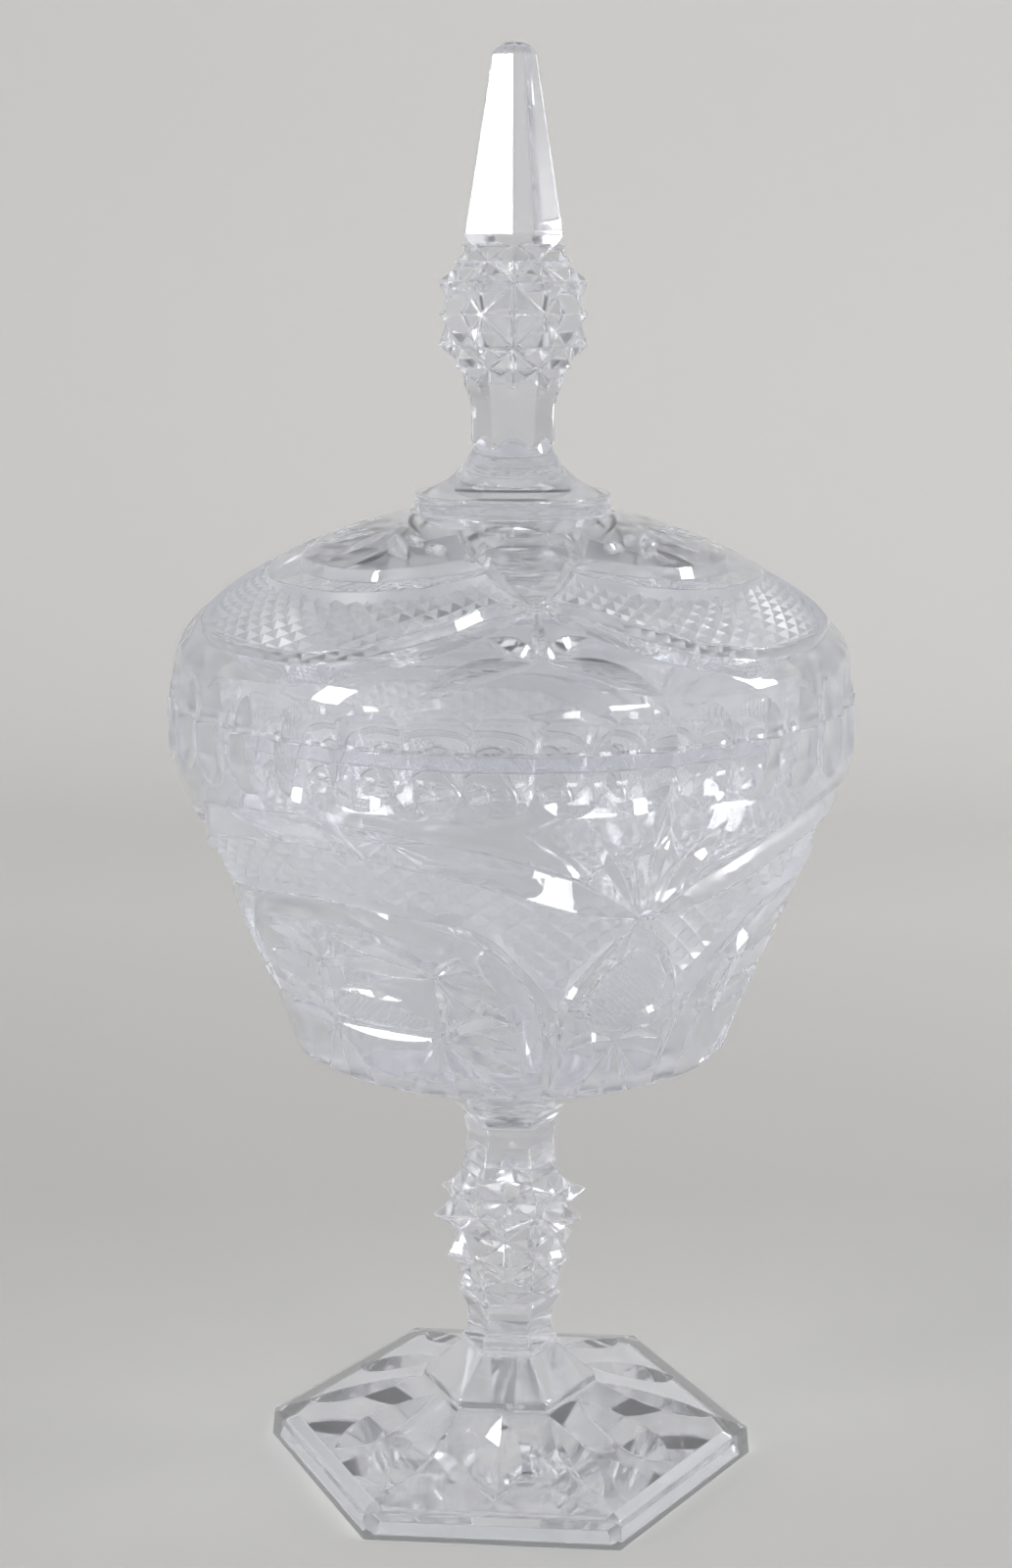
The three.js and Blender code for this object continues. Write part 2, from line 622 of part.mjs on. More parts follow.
// Bowl: deep and open, with a rounded floor inside and the garland round its outside.
function bowlOutside() {
  const shoulder = [BOWL_RIM_RADIUS - BOWL_SHOULDER_INSET, joint - BOWL_SHOULDER_DEPTH];
  const edge = [BOWL_EDGE_RADIUS, bowlBase + BOWL_EDGE_HEIGHT];
  const drop = shoulder[1] - edge[1];
  const flank = [
    edge,
    ...curve(
      edge,
      [edge[0] + FLANK_SWELL, edge[1] + FLANK_SHARE * drop],
      [shoulder[0] - FLANK_TUCK, shoulder[1] - FLANK_SHARE * drop],
      shoulder,
      7,
    ),
  ];
  const chest = curve(
    shoulder,
    [shoulder[0] + CHEST_SWELL, shoulder[1] + CHEST_RISE],
    [BOWL_RIM_RADIUS, joint - BOWL_BAND_DEPTH - CHEST_EASE],
    [BOWL_RIM_RADIUS, joint - BOWL_BAND_DEPTH],
    4,
  );
  return [...flank, ...chest, [BOWL_RIM_RADIUS, joint]];
}

const bowlMouth = BOWL_RIM_RADIUS - BOWL_WALL;

function bowlInside() {
  const floor = bowlBase + BOWL_FLOOR;
  const turn = [BOWL_EDGE_RADIUS - BOWL_WALL, floor + BOWL_FLOOR_CORNER];
  return [
    [bowlMouth, joint],
    [bowlMouth, joint - BOWL_BAND_DEPTH],
    ...curve(
      [bowlMouth, joint - BOWL_BAND_DEPTH],
      [bowlMouth - HOLLOW_TUCK, joint - BOWL_SHOULDER_DEPTH],
      [turn[0] + HOLLOW_SWELL, turn[1] + HOLLOW_RISE],
      turn,
      8,
    ),
    ...curve(
      turn,
      [turn[0] - BOWL_FLOOR_LEAN, turn[1] - BOWL_FLOOR_RISE],
      [turn[0] - BOWL_FLOOR_COVE, floor],
      [turn[0] - BOWL_FLOOR_SHOULDER, floor],
      4,
    ),
    [0, floor],
  ];
}

function makeBowl() {
  const outside = bowlOutside();
  const skin = makeSkin(outside);
  const arch = BOWL_STAR_TURN - 180 / ARCHES;
  let bowl = turned([[0, bowlBase], [BOWL_SEAT_RADIUS, bowlBase], ...outside, ...bowlInside()]);
  bowl = cutForEachArch(bowl, stripCutter(skin, BOWL_FIELD, FIELD_SECTION, FIELD_DEPTH, arch));
  bowl = cutForEachArch(bowl, stripCutter(skin, BOWL_BAND, BAND_SECTION, BAND_DEPTH, arch));
  const { width, path } = INNER_ARCH;
  bowl = cutForEachArch(bowl, pathCutter(skin, path, width, BAND_DEPTH, ARCH_STATIONS, BAND_SECTION, arch));
  bowl = withPointedCuts(bowl, skin, BOWL_ARCH_CUTS, arch, [-1, 1]);
  bowl = withPointedCuts(bowl, skin, BOWL_STAR_CUTS, BOWL_STAR_TURN, [-1, 1]);
  bowl = withPointedCuts(bowl, skin, BOWL_STAR_MASTS, BOWL_STAR_TURN, [1]);
  const straight = BOWL_THUMBPRINT_HEIGHT - THUMBPRINT_WIDTH / 2;
  bowl = withThumbprints(bowl, BOWL_RIM_RADIUS, joint, straight, 0, BOWL_THUMBPRINT_TURN);
  return named('bowl', bowl.asOriginal().simplify(SLIVER), crystal(0xeceff3));
}

// Cover: a dome whose edge rests on the bowl's rim, with a flange that drops inside it and
// the garland round its outside.
function makeLid() {
  const edge = BOWL_RIM_RADIUS - LID_EDGE_INSET;
  const shoulder = [edge - LID_BAND_TAPER, joint + LID_BAND_HEIGHT];
  const flangeOuter = bowlMouth - LID_FIT_CLEARANCE;
  const flangeInner = flangeOuter - LID_FLANGE_WIDTH;
  const rise = lidTop - shoulder[1];
  const run = shoulder[0] - LID_TOP_RADIUS;
  const dome = curve(
    shoulder,
    [shoulder[0] - DOME_FOOT_RUN * run, shoulder[1] + DOME_FOOT_RISE * rise],
    [shoulder[0] - DOME_TOP_RUN * run, lidTop - DOME_TOP_DROP * rise],
    [LID_TOP_RADIUS, lidTop],
    9,
  );
  const hollow = lidTop - LID_WALL - LID_CROWN_EXTRA;
  const inside = curve(
    [0, hollow],
    [CEILING_RUN * run, hollow],
    [flangeInner - CEILING_TUCK, hollow - CEILING_DROP * rise],
    [flangeInner, joint + LID_BAND_HEIGHT],
    9,
  );
  let lid = turned([
    [flangeInner, joint - LID_FLANGE_DROP],
    [flangeOuter, joint - LID_FLANGE_DROP],
    [flangeOuter, joint],
    [edge, joint],
    shoulder,
    ...dome,
    [0, lidTop],
    [0, hollow],
    ...inside,
    [flangeInner, joint - LID_FLANGE_DROP],
  ]);
  const skin = makeSkin([shoulder, ...dome]);
  const arch = LID_STAR_TURN + 180 / ARCHES;
  lid = cutForEachArch(lid, stripCutter(skin, LID_FIELD, FIELD_SECTION, FIELD_DEPTH, arch));
  lid = cutForEachArch(lid, stripCutter(skin, LID_LOWER_BAND, BAND_SECTION, BAND_DEPTH, arch));
  lid = cutForEachArch(lid, stripCutter(skin, LID_UPPER_BAND, BAND_SECTION, BAND_DEPTH, arch));
  lid = withPointedCuts(lid, skin, LID_STAR_CUTS, LID_STAR_TURN, [-1, 1]);
  lid = withPointedCuts(lid, skin, LID_STAR_MASTS, LID_STAR_TURN, [1]);
  const straight = LID_THUMBPRINT_HEIGHT - THUMBPRINT_WIDTH / 2;
  const lean = Math.atan2(LID_BAND_TAPER, LID_BAND_HEIGHT);
  lid = withThumbprints(lid, edge, joint, straight, lean, LID_THUMBPRINT_TURN);
  return named('lid', lid.asOriginal().simplify(SLIVER), crystal(0xedf0f4));
}

// Finial: collar and round flare, hexagonal neck, diamond knop and a six-sided spire.
function makeFinial() {
  const flareTop = lidTop + COLLAR_HEIGHT + FLARE_RISE;
  const collar = turned([
    [0, lidTop],
    [COLLAR_RADIUS - COLLAR_EDGE, lidTop],
    [COLLAR_RADIUS, lidTop + COLLAR_EDGE],
    [COLLAR_RADIUS, lidTop + COLLAR_HEIGHT - COLLAR_EDGE],
    [COLLAR_RADIUS - COLLAR_EDGE, lidTop + COLLAR_HEIGHT],
    ...curve(
      [COLLAR_RADIUS - COLLAR_EDGE, lidTop + COLLAR_HEIGHT],
      [COLLAR_RADIUS - COLLAR_COVE_RUN, lidTop + COLLAR_HEIGHT + COLLAR_COVE_RISE],
      [FINIAL_NECK_RADIUS + NECK_COVE_RUN, flareTop - NECK_COVE_DROP],
      [FINIAL_NECK_RADIUS * COS_HALF_SIDE, flareTop],
      7,
    ),
    [0, flareTop],
  ], SMALL_ROUND_SEGMENTS);
  const column = facetedColumn(
    [{ step: 0, flat: FINIAL_NECK_RADIUS * COS_HALF_SIDE, corner: FINIAL_NECK_RADIUS }, ...FINIAL_RINGS],
    flareTop - COLUMN_SINK,
    0,
  );
  const columnTop = FINIAL_RINGS.reduce((sum, ring) => sum + ring.step, flareTop - COLUMN_SINK);
  const spireBase = columnTop - OVERLAP;
  const spireShoulder = columnTop + SPIRE_LIP;
  const spireTop = spireShoulder + SPIRE_HEIGHT;
  const spire = hexagonStack([
    [SPIRE_BASE_RADIUS - SPIRE_LIP, spireBase],
    [SPIRE_BASE_RADIUS, spireShoulder],
    [SPIRE_TOP_RADIUS, spireTop],
    [SPIRE_TIP_RADIUS, spireTop + SPIRE_TIP_RISE],
    [SPIRE_CROWN_RADIUS, spireTop + SPIRE_TIP_RISE + SPIRE_CROWN_RISE],
  ], 0, 0);
  return named('finial', collar.add(column).add(spire), crystal(0xf0f2f5));
}

const compote = new THREE.Group();
compote.add(makeFoot(), makeStem(), makeBowl());

const cover = new THREE.Group();
cover.add(makeLid(), makeFinial());

const coveredCompote = new THREE.Group();
coveredCompote.add(compote, cover);

export default coveredCompote;
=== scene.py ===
"""Covered compote in cut crystal: the fine surface of each pressing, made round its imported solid.

Lengths are in millimetres and angles in degrees until a mesh is made. Blender's objects are in
metres. The front is towards -Y, and azimuths run from the front, positive to the right.
"""

import logging
import math
from collections.abc import Sequence
from dataclasses import dataclass, replace
from enum import Enum

import bmesh
import bpy
import numpy as np
from mathutils import Euler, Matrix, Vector


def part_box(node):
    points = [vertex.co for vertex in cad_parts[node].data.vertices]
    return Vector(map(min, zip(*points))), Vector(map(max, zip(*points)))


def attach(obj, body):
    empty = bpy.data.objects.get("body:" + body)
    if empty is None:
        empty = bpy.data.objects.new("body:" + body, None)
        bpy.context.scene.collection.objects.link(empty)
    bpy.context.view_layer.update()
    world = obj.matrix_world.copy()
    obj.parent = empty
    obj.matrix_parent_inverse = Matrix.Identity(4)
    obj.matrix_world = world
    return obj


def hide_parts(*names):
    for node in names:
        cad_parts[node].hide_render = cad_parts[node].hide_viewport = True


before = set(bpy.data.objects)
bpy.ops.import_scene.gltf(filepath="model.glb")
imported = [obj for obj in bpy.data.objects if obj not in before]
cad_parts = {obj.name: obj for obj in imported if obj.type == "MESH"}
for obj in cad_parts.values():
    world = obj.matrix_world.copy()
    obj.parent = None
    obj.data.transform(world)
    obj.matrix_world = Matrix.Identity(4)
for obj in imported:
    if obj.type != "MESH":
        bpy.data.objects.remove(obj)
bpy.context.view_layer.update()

MM = 0.001
HEADROOM = 2.0  # how far a cutter reaches out of the glass
THINNEST = 0.02  # share of a cut's size left at its tip, and half a strip's width where it closes
PATH_STEPS = 12  # points between two given points of a path
WAY_STEPS = 240  # points along a skin where its distance is measured
SEAM_TOLERANCE = 0.02  # how far a face may lie from its seam's height
SHARP_ANGLE = 12.0  # edges turned by more than this stay crisp
ROUNDED_ANGLE = 20.0  # edges turned by more than this get a round
LEVEL = 0.999  # a face is level from this height of its normal
HALF_SIDE = math.cos(math.radians(30))  # a hexagon's reach at a flat, for 1 at a corner
CRYSTAL_SLOT, SEAM_SLOT, POINTS_SLOT = 0, 1, 2
BEVEL_SAMPLES = 4
CLOUDS = (0.4, 0.8)  # the noise values that give the smoothest and the roughest gloss
AIM_HEIGHT = 0.2  # where the lamps point, in metres

log = logging.getLogger("compote")

Pair = tuple[float, float]
Faces = list[tuple[int, ...]]


class Section(Enum):
    """Cross-section of a cut, as pairs of a share of its half width and a share of its depth."""

    MITRE = ((-1.0, 0.0), (0.0, 1.0), (1.0, 0.0))
    FLUTE = tuple((x / 4, 1 - (x / 4) ** 2) for x in range(-4, 5))
    BAND = (
        (-1.0, 0.0), (-0.6, 0.29), (-0.2, 0.57), (0.2, 0.82), (0.5, 1.0), (0.58, 0.97), (1.0, 0.0),
    )
    PANEL = ((-1.0, 0.0), (-0.7, 1.0), (0.7, 1.0), (1.0, 0.0))


class Ends(Enum):
    """How a cut grows along its path, from its start to its end."""

    POINTED = "pointed"
    EVEN = "even"
    DART = "dart"


class Operation(Enum):
    """What a boolean in a node tree does, as Blender names it."""

    CUT = "DIFFERENCE"
    JOIN = "UNION"
    SHARE = "INTERSECT"


@dataclass
class Body:
    """A closed body, as points in millimetres and faces."""

    points: np.ndarray
    faces: Faces

    def reach(self) -> tuple[np.ndarray, np.ndarray]:
        """Gives the lowest and highest azimuth, radius and height, the azimuth near its middle.

        Returns:
            The lowest three and the highest three.
        """
        x, y, z = self.points.T
        middle = math.atan2(x.mean(), -y.mean())
        azimuth = np.arctan2(x, -y) - middle
        azimuth = np.degrees((azimuth + np.pi) % (2 * np.pi) - np.pi + middle)
        spread = np.stack([azimuth, np.hypot(x, y), z])
        return spread.min(1), spread.max(1)

    def spun(self, azimuth: float) -> "Body":
        """Gives the body turned round the axis.

        Args:
            azimuth: The turn, positive to the right.

        Returns:
            The turned body.
        """
        c, s = math.cos(math.radians(azimuth)), math.sin(math.radians(azimuth))
        x, y, z = self.points.T
        return Body(np.stack([c * x - s * y, s * x + c * y, z], 1), self.faces)

    def to_object(self, name: str) -> bpy.types.Object:
        """Makes a Blender object in metres, with its faces pointing outwards.

        Args:
            name: Name of the object and of its mesh.

        Returns:
            The object, not yet in the scene.
        """
        mesh = bpy.data.meshes.new(name)
        mesh.from_pydata((self.points * MM).tolist(), [], self.faces)
        work = bmesh.new()
        work.from_mesh(mesh)
        bmesh.ops.remove_doubles(work, verts=work.verts, dist=1e-7)
        bmesh.ops.recalc_face_normals(work, faces=work.faces)
        work.to_mesh(mesh)
        work.free()
        return bpy.data.objects.new(name, mesh)


def joined(bodies: Sequence[Body]) -> Body:
    """Puts several bodies into one.

    Args:
        bodies: Bodies that don't touch.

    Returns:
        One body that holds them all.
    """
    faces: Faces = []
    start = 0
    for body in bodies:
        faces.extend(tuple(i + start for i in face) for face in body.faces)
        start += len(body.points)
    return Body(np.concatenate([body.points for body in bodies]), faces)


def around(radius: float, azimuth: float, height: float) -> tuple[float, float, float]:
    """Gives the point at a radius, an azimuth and a height."""
    angle = math.radians(azimuth)
    return (radius * math.sin(angle), -radius * math.cos(angle), height)


def bezier(start: Pair, pull_start: Pair, pull_end: Pair, end: Pair, pieces: int) -> list[Pair]:
    """Samples a cubic curve without its first point.

    Args:
        start: First point, which isn't given back.
        pull_start: Point that the curve leaves towards.
        pull_end: Point that the curve arrives from.
        end: Last point.
        pieces: Number of points to give.

    Returns:
        The points after the first one.
    """
    t = np.linspace(0, 1, pieces + 1)[1:, None]
    corners = [np.array(p) for p in (start, pull_start, pull_end, end)]
    weights = [(1 - t) ** 3, 3 * (1 - t) ** 2 * t, 3 * (1 - t) * t**2, t**3]
    return [tuple(p) for p in sum(w * c for w, c in zip(weights, corners))]


def ring_faces(count: int, rows: int) -> Faces:
    """Gives the faces between rings of points, numbered ring by ring.

    Args:
        count: Number of points in a ring.
        rows: Number of rings.

    Returns:
        The faces, which have four corners.
    """
    faces: Faces = []
    for low in range(0, count * (rows - 1), count):
        for i in range(count):
            a, b = low + i, low + (i + 1) % count
            faces.append((a, b, b + count, a + count))
    return faces


def end_faces(count: int, rows: int) -> Faces:
    """Gives the faces that close the first and the last ring of points."""
    return [tuple(range(count)), tuple(range(count * (rows - 1), count * rows))]


def halves(face: tuple[int, ...], from_first: bool) -> Faces:
    """Splits a face with four corners from its first corner, or from its second."""
    a, b, c, d = face
    return [(a, b, c), (a, c, d)] if from_first else [(a, b, d), (b, c, d)]


def turned(outline: Sequence[Pair], segments: int) -> Body:
    """Turns an outline about the axis.

    Args:
        outline: Pairs of radius and height. The first and the last one lie on the axis.
        segments: Number of steps round the axis.

    Returns:
        The closed body.
    """
    angles = np.arange(segments) * 2 * np.pi / segments
    rings = [
        np.stack([radius * np.sin(angles), -radius * np.cos(angles), np.full(segments, height)], 1)
        for radius, height in outline[1:-1]
    ]
    poles = [np.array([[0, 0, outline[end][1]]]) for end in (0, -1)]
    top = 1 + (len(rings) - 1) * segments
    faces: Faces = []
    for i in range(segments):
        j = (i + 1) % segments
        faces.append((0, 1 + j, 1 + i))
        lows = range(1, top, segments)
        faces += [(a + i, a + j, a + segments + j, a + segments + i) for a in lows]
        faces.append((top + i, top + j, top + segments))
    return Body(np.concatenate([poles[0], *rings, poles[1]]), faces)


def slab(under: np.ndarray, over: np.ndarray, faces: Faces) -> Body:
    """Closes the space between two sheets that have the same faces.

    Args:
        under: Points of the sheet inside the glass.
        over: Points of the sheet outside the glass.
        faces: Faces of both sheets.

    Returns:
        The closed body.
    """
    count = len(under)
    border: dict[tuple[int, int], tuple[int, int]] = {}
    for face in faces:
        for a, b in zip(face, face[1:] + face[:1]):
            if (b, a) in border:
                del border[(b, a)]
            else:
                border[(a, b)] = (a, b)
    walls = [(a, b, b + count, a + count) for a, b in border]
    lids = [tuple(i + count for i in face) for face in faces]
    floors = [tuple(reversed(face)) for face in faces]
    return Body(np.concatenate([under, over]), floors + lids + walls)


def grid_faces(columns: int, rows: int) -> Faces:
    """Gives the faces of a grid of points, numbered column by column."""
    starts = [c * rows + r for c in range(columns - 1) for r in range(rows - 1)]
    return [(a, a + rows, a + rows + 1, a + 1) for a in starts]


class Skin:
    """The outer surface of a turned piece. A place on it is an azimuth and a way along it."""

    def __init__(self, outline: Sequence[Pair]) -> None:
        """Measures the outline.

        Args:
            outline: Pairs of radius and height, from the lower end to the upper end.
        """
        self.outline = np.array(outline)
        steps = np.linalg.norm(np.diff(self.outline, axis=0), axis=1)
        self.way = np.concatenate([[0], np.cumsum(steps)])
        slope = np.gradient(self.outline, self.way, axis=0)
        normal = np.stack([slope[:, 1], -slope[:, 0]], 1)
        self.normal = normal / np.linalg.norm(normal, axis=1)[:, None]

    def way_at_height(self, height: np.ndarray | float) -> np.ndarray:
        """Gives the way along the skin to a height."""
        return np.interp(height, self.outline[:, 1], self.way)

    def radius_at(self, way: np.ndarray) -> np.ndarray:
        """Gives the radius at a way along the skin."""
        return np.interp(way, self.way, self.outline[:, 0])

    def place(self, azimuth: np.ndarray, way: np.ndarray, lift: np.ndarray | float) -> np.ndarray:
        """Puts points on the skin, or above or below it.

        Args:
            azimuth: Azimuths in degrees.
            way: Ways along the skin.
            lift: Heights above the skin, square to it. Below it they are negative.

        Returns:
            The points, one a row.
        """
        radius = self.radius_at(way) + lift * np.interp(way, self.way, self.normal[:, 0])
        height = np.interp(way, self.way, self.outline[:, 1])
        height = height + lift * np.interp(way, self.way, self.normal[:, 1])
        angle = np.radians(azimuth)
        return np.stack([radius * np.sin(angle), -radius * np.cos(angle), height], -1)


def smooth_path(points: np.ndarray, stations: int) -> np.ndarray:
    """Samples a smooth line through points, at even steps.

    Args:
        points: Points that the line passes through, one a row.
        stations: Number of points to give.

    Returns:
        The points on the line.
    """
    if len(points) == 2:
        return np.linspace(points[0], points[1], stations)
    ends = np.concatenate([[2 * points[0] - points[1]], points, [2 * points[-1] - points[-2]]])
    t = np.linspace(0, 1, PATH_STEPS, endpoint=False)[:, None]
    pieces = []
    for a, b, c, d in zip(ends, ends[1:], ends[2:], ends[3:]):
        bend = (-a + 3 * b - 3 * c + d) * t**3 + (2 * a - 5 * b + 4 * c - d) * t**2
        pieces.append((bend + (c - a) * t + 2 * b) / 2)
    dense = np.concatenate([*pieces, points[-1:]])
    gone = np.concatenate([[0], np.cumsum(np.linalg.norm(np.diff(dense, axis=0), axis=1))])
    even = np.linspace(0, gone[-1], stations)
    return np.stack([np.interp(even, gone, dense[:, i]) for i in range(2)], 1)


def lens(stations: int, peak: float) -> np.ndarray:
    """Gives how full a cut with two pointed ends is at each station, fullest at the share peak.

    Args:
        stations: Number of stations.
        peak: Share of its length where it is fullest.

    Returns:
        A share of the full size for each station.
    """
    t = np.linspace(0, 1, stations)
    side = np.where(t < peak, peak, 1 - peak)
    return np.maximum(1 - ((t - peak) / side) ** 2, THINNEST)


@dataclass(frozen=True)
class Cut:
    """One cut of the wheel along a path of pairs of an azimuth and a way along the skin."""

    path: tuple[Pair, ...]
    width: float
    depth: float
    section: Section = Section.MITRE
    ends: Ends = Ends.POINTED
    peak: float = 0.5
    stations: int = 13

    def mirrored(self) -> "Cut":
        """Gives the cut on the other side of azimuth 0."""
        return replace(self, path=tuple((-a, w) for a, w in self.path))

    def turned_by(self, azimuth: float) -> "Cut":
        """Gives the cut further round the axis."""
        return replace(self, path=tuple((a + azimuth, w) for a, w in self.path))

    def fullness(self) -> np.ndarray:
        """Gives the share of the full width and depth at each station.

        Returns:
            One share for each station.
        """
        if self.ends is Ends.EVEN:
            return np.ones(self.stations)
        if self.ends is Ends.DART:
            return np.maximum(1 - np.linspace(0, 1, self.stations), THINNEST)
        return lens(self.stations, self.peak)

    def body(self, skin: Skin) -> Body:
        """Makes the cutter.

        Args:
            skin: The surface that is cut.

        Returns:
            The closed cutter.
        """
        line = smooth_path(np.array(self.path), self.stations)
        per_degree = np.radians(skin.radius_at(line[:, 1]))
        flat = np.stack([line[:, 0] * per_degree.mean(), line[:, 1]], 1)
        along = np.gradient(flat, axis=0)
        along /= np.linalg.norm(along, axis=1)[:, None]
        full = self.fullness()
        half = full * self.width / 2
        section = self.section.value
        shares = [(section[0][0], None), *section, (section[-1][0], None)]
        columns = []
        for across, depth in shares:
            azimuth = line[:, 0] - across * half * along[:, 1] / per_degree
            way = line[:, 1] + across * half * along[:, 0]
            lift = HEADROOM if depth is None else -depth * full * self.depth
            columns.append(skin.place(azimuth, way, lift))
        points = np.stack(columns, 1).reshape(-1, 3)
        rings = len(shares), self.stations
        return Body(points, end_faces(*rings) + ring_faces(*rings))


@dataclass(frozen=True)
class Strip:
    """A stretch of the skin between two lines, given as pairs of an azimuth and a way."""

    lower: tuple[Pair, ...]
    upper: tuple[Pair, ...]
    step: float = 1.5

    def columns(self) -> tuple[np.ndarray, np.ndarray, np.ndarray]:
        """Gives the azimuths of the columns and the ways to their lower and upper ends.

        Returns:
            Azimuths, lower ways and upper ways.
        """
        first = max(self.lower[0][0], self.upper[0][0])
        last = min(self.lower[-1][0], self.upper[-1][0])
        azimuth = np.linspace(first, last, max(3, round((last - first) / self.step) + 1))
        low = np.interp(azimuth, *np.array(self.lower).T)
        high = np.interp(azimuth, *np.array(self.upper).T)
        return azimuth, low, np.maximum(high, low + 2 * THINNEST)

    def body(self, skin: Skin, depth: float, section: Section, widest: float) -> Body:
        """Makes a cutter as wide as the strip.

        Args:
            skin: The surface that is cut.
            depth: Depth where the strip is as wide as widest or wider.
            section: Form of the cut across the strip.
            widest: Width from which the depth no longer grows.

        Returns:
            The closed cutter.
        """
        azimuth, low, high = self.columns()
        full = np.minimum((high - low) / widest, 1)
        shares = section.value
        rows = len(shares)
        across = np.array([(s[0] + 1) / 2 for s in shares])
        deep = np.array([s[1] for s in shares])
        way = low[:, None] + (high - low)[:, None] * across
        azimuths = np.repeat(azimuth, rows)
        lift = (-depth * full[:, None] * deep).ravel()
        under = skin.place(azimuths, way.ravel(), lift)
        over = skin.place(azimuths, way.ravel(), HEADROOM)
        return slab(under, over, grid_faces(len(azimuth), rows))

    def pocket(self, skin: Skin, depth: float) -> Body:
        """Makes a cutter that is as deep as given all over the strip."""
        return self.body(skin, depth, Section.PANEL, 0.1)


@dataclass(frozen=True)
class Area:
    """Where a strip lies on a pressing, the same in every sector."""

    skin: Skin
    strip: Strip
    middle: float
    sectors: int
    thickness: float = 3.4

    def holds(self, points: np.ndarray) -> np.ndarray:
        """Says which points lie in the strip, at the skin or a little below it.

        Args:
            points: Points in millimetres, one a row.

        Returns:
            One truth value for each point.
        """
        x, y, z = points.T
        turn = 360 / self.sectors
        azimuth = (np.degrees(np.arctan2(x, -y)) - self.middle + turn / 2) % turn - turn / 2
        radius = np.hypot(x, y)
        steps = np.linspace(0, self.skin.way[-1], WAY_STEPS)
        line_r = self.skin.radius_at(steps)
        line_z = np.interp(steps, self.skin.way, self.skin.outline[:, 1])
        gap = np.hypot(radius[:, None] - line_r, z[:, None] - line_z)
        way = steps[gap.argmin(1)]
        low = np.interp(azimuth, *np.array(self.strip.lower).T)
        high = np.interp(azimuth, *np.array(self.strip.upper).T)
        return (gap.min(1) < self.thickness) & (way > low) & (way < high)


@dataclass(frozen=True)
class Relief:
    """Small pyramids side by side. The pitch is in degrees and along the skin."""

    turns: Pair
    pitch: Pair
    point_depth: float
    valley_depth: float

    def body(self, skin: Skin, ways: Pair) -> Body:
        """Makes a cutter that leaves the pyramids.

        Args:
            skin: The surface that is cut.
            ways: Lowest and highest way along the skin.

        Returns:
            The closed cutter.
        """
        columns = round((self.turns[1] - self.turns[0]) / self.pitch[0]) * 2 + 1
        rows = round((ways[1] - ways[0]) / self.pitch[1]) * 2 + 1
        azimuth = np.repeat(np.linspace(*self.turns, columns), rows)
        way = np.tile(np.linspace(*ways, rows), columns)
        odd = np.add.outer(np.arange(columns), np.arange(rows)).ravel() % 2 == 1
        lift = -np.where(odd, self.point_depth, self.valley_depth)
        faces: Faces = []
        for face in grid_faces(columns, rows):
            faces += halves(face, not odd[face[0]])
        return slab(skin.place(azimuth, way, lift), skin.place(azimuth, way, HEADROOM), faces)


@dataclass(frozen=True)
class Thumbprints:
    """A row of hollows along an edge. Each takes up its fill of the pitch, and one is at the turn."""

    count: int
    turn: float
    height: float
    depth: float
    fill: float = 0.995
    columns: int = 19
    rows: int = 12

    def body(self, skin: Skin, start: float, upwards: bool) -> Body:
        """Makes the cutter of one thumbprint.

        Args:
            skin: The surface that is cut.
            start: Way along the skin to the open end.
            upwards: Whether it reaches up from the open end.

        Returns:
            The closed cutter.
        """
        half_turn = 180 / self.count
        half = float(skin.radius_at(np.array(start))) * math.radians(half_turn)
        straight = self.height - half
        azimuth = np.linspace(-half_turn, half_turn, self.columns) * self.fill
        sideways = azimuth / half_turn * half
        rounded = straight + half * np.linspace(0.1, 1.1, self.rows)
        gone = np.concatenate([[-HEADROOM], np.linspace(0, straight, 2), rounded])
        beyond = np.maximum(gone - straight, 0)
        share = (sideways[:, None] ** 2 + beyond**2) / half**2
        lift = np.minimum(-self.depth * (1 - share), HEADROOM / 2).ravel()
        way = np.tile(start + gone * (1 if upwards else -1), len(azimuth))
        azimuths = np.repeat(azimuth, len(gone))
        faces = grid_faces(len(azimuth), len(gone))
        body = slab(skin.place(azimuths, way, lift), skin.place(azimuths, way, HEADROOM), faces)
        return body.spun(self.turn)


def apart(bodies: Sequence[Body], sectors: int) -> list[list[Body]]:
    """Sorts cutters into passes, so that those of one pass don't touch when copied round.

    Args:
        bodies: The cutters of one sector.
        sectors: Number of copies round the axis.

    Returns:
        The passes.
    """
    passes: list[list[tuple[Body, np.ndarray, np.ndarray]]] = []
    turn = 360 / sectors
    for body in bodies:
        low, high = body.reach()
        for group in passes:
            if not any(meets(low, high, other[1], other[2], turn) for other in group):
                group.append((body, low, high))
                break
        else:
            passes.append([(body, low, high)])
    return [[entry[0] for entry in group] for group in passes]


def meets(low: np.ndarray, high: np.ndarray, low_b: np.ndarray, high_b: np.ndarray,
          turn: float) -> bool:
    """Says whether two reaches meet, with the second one at any whole number of turns.

    Args:
        low: Lowest azimuth, radius and height of the first reach.
        high: Its highest ones.
        low_b: The lowest ones of the second reach.
        high_b: Its highest ones.
        turn: Angle between two copies.

    Returns:
        Whether they meet.
    """
    if (low[1:] > high_b[1:]).any() or (high[1:] < low_b[1:]).any():
        return False
    shift = round(((low[0] + high[0]) - (low_b[0] + high_b[0])) / 2 / turn) * turn
    return not (low[0] > high_b[0] + shift or high[0] < low_b[0] + shift)


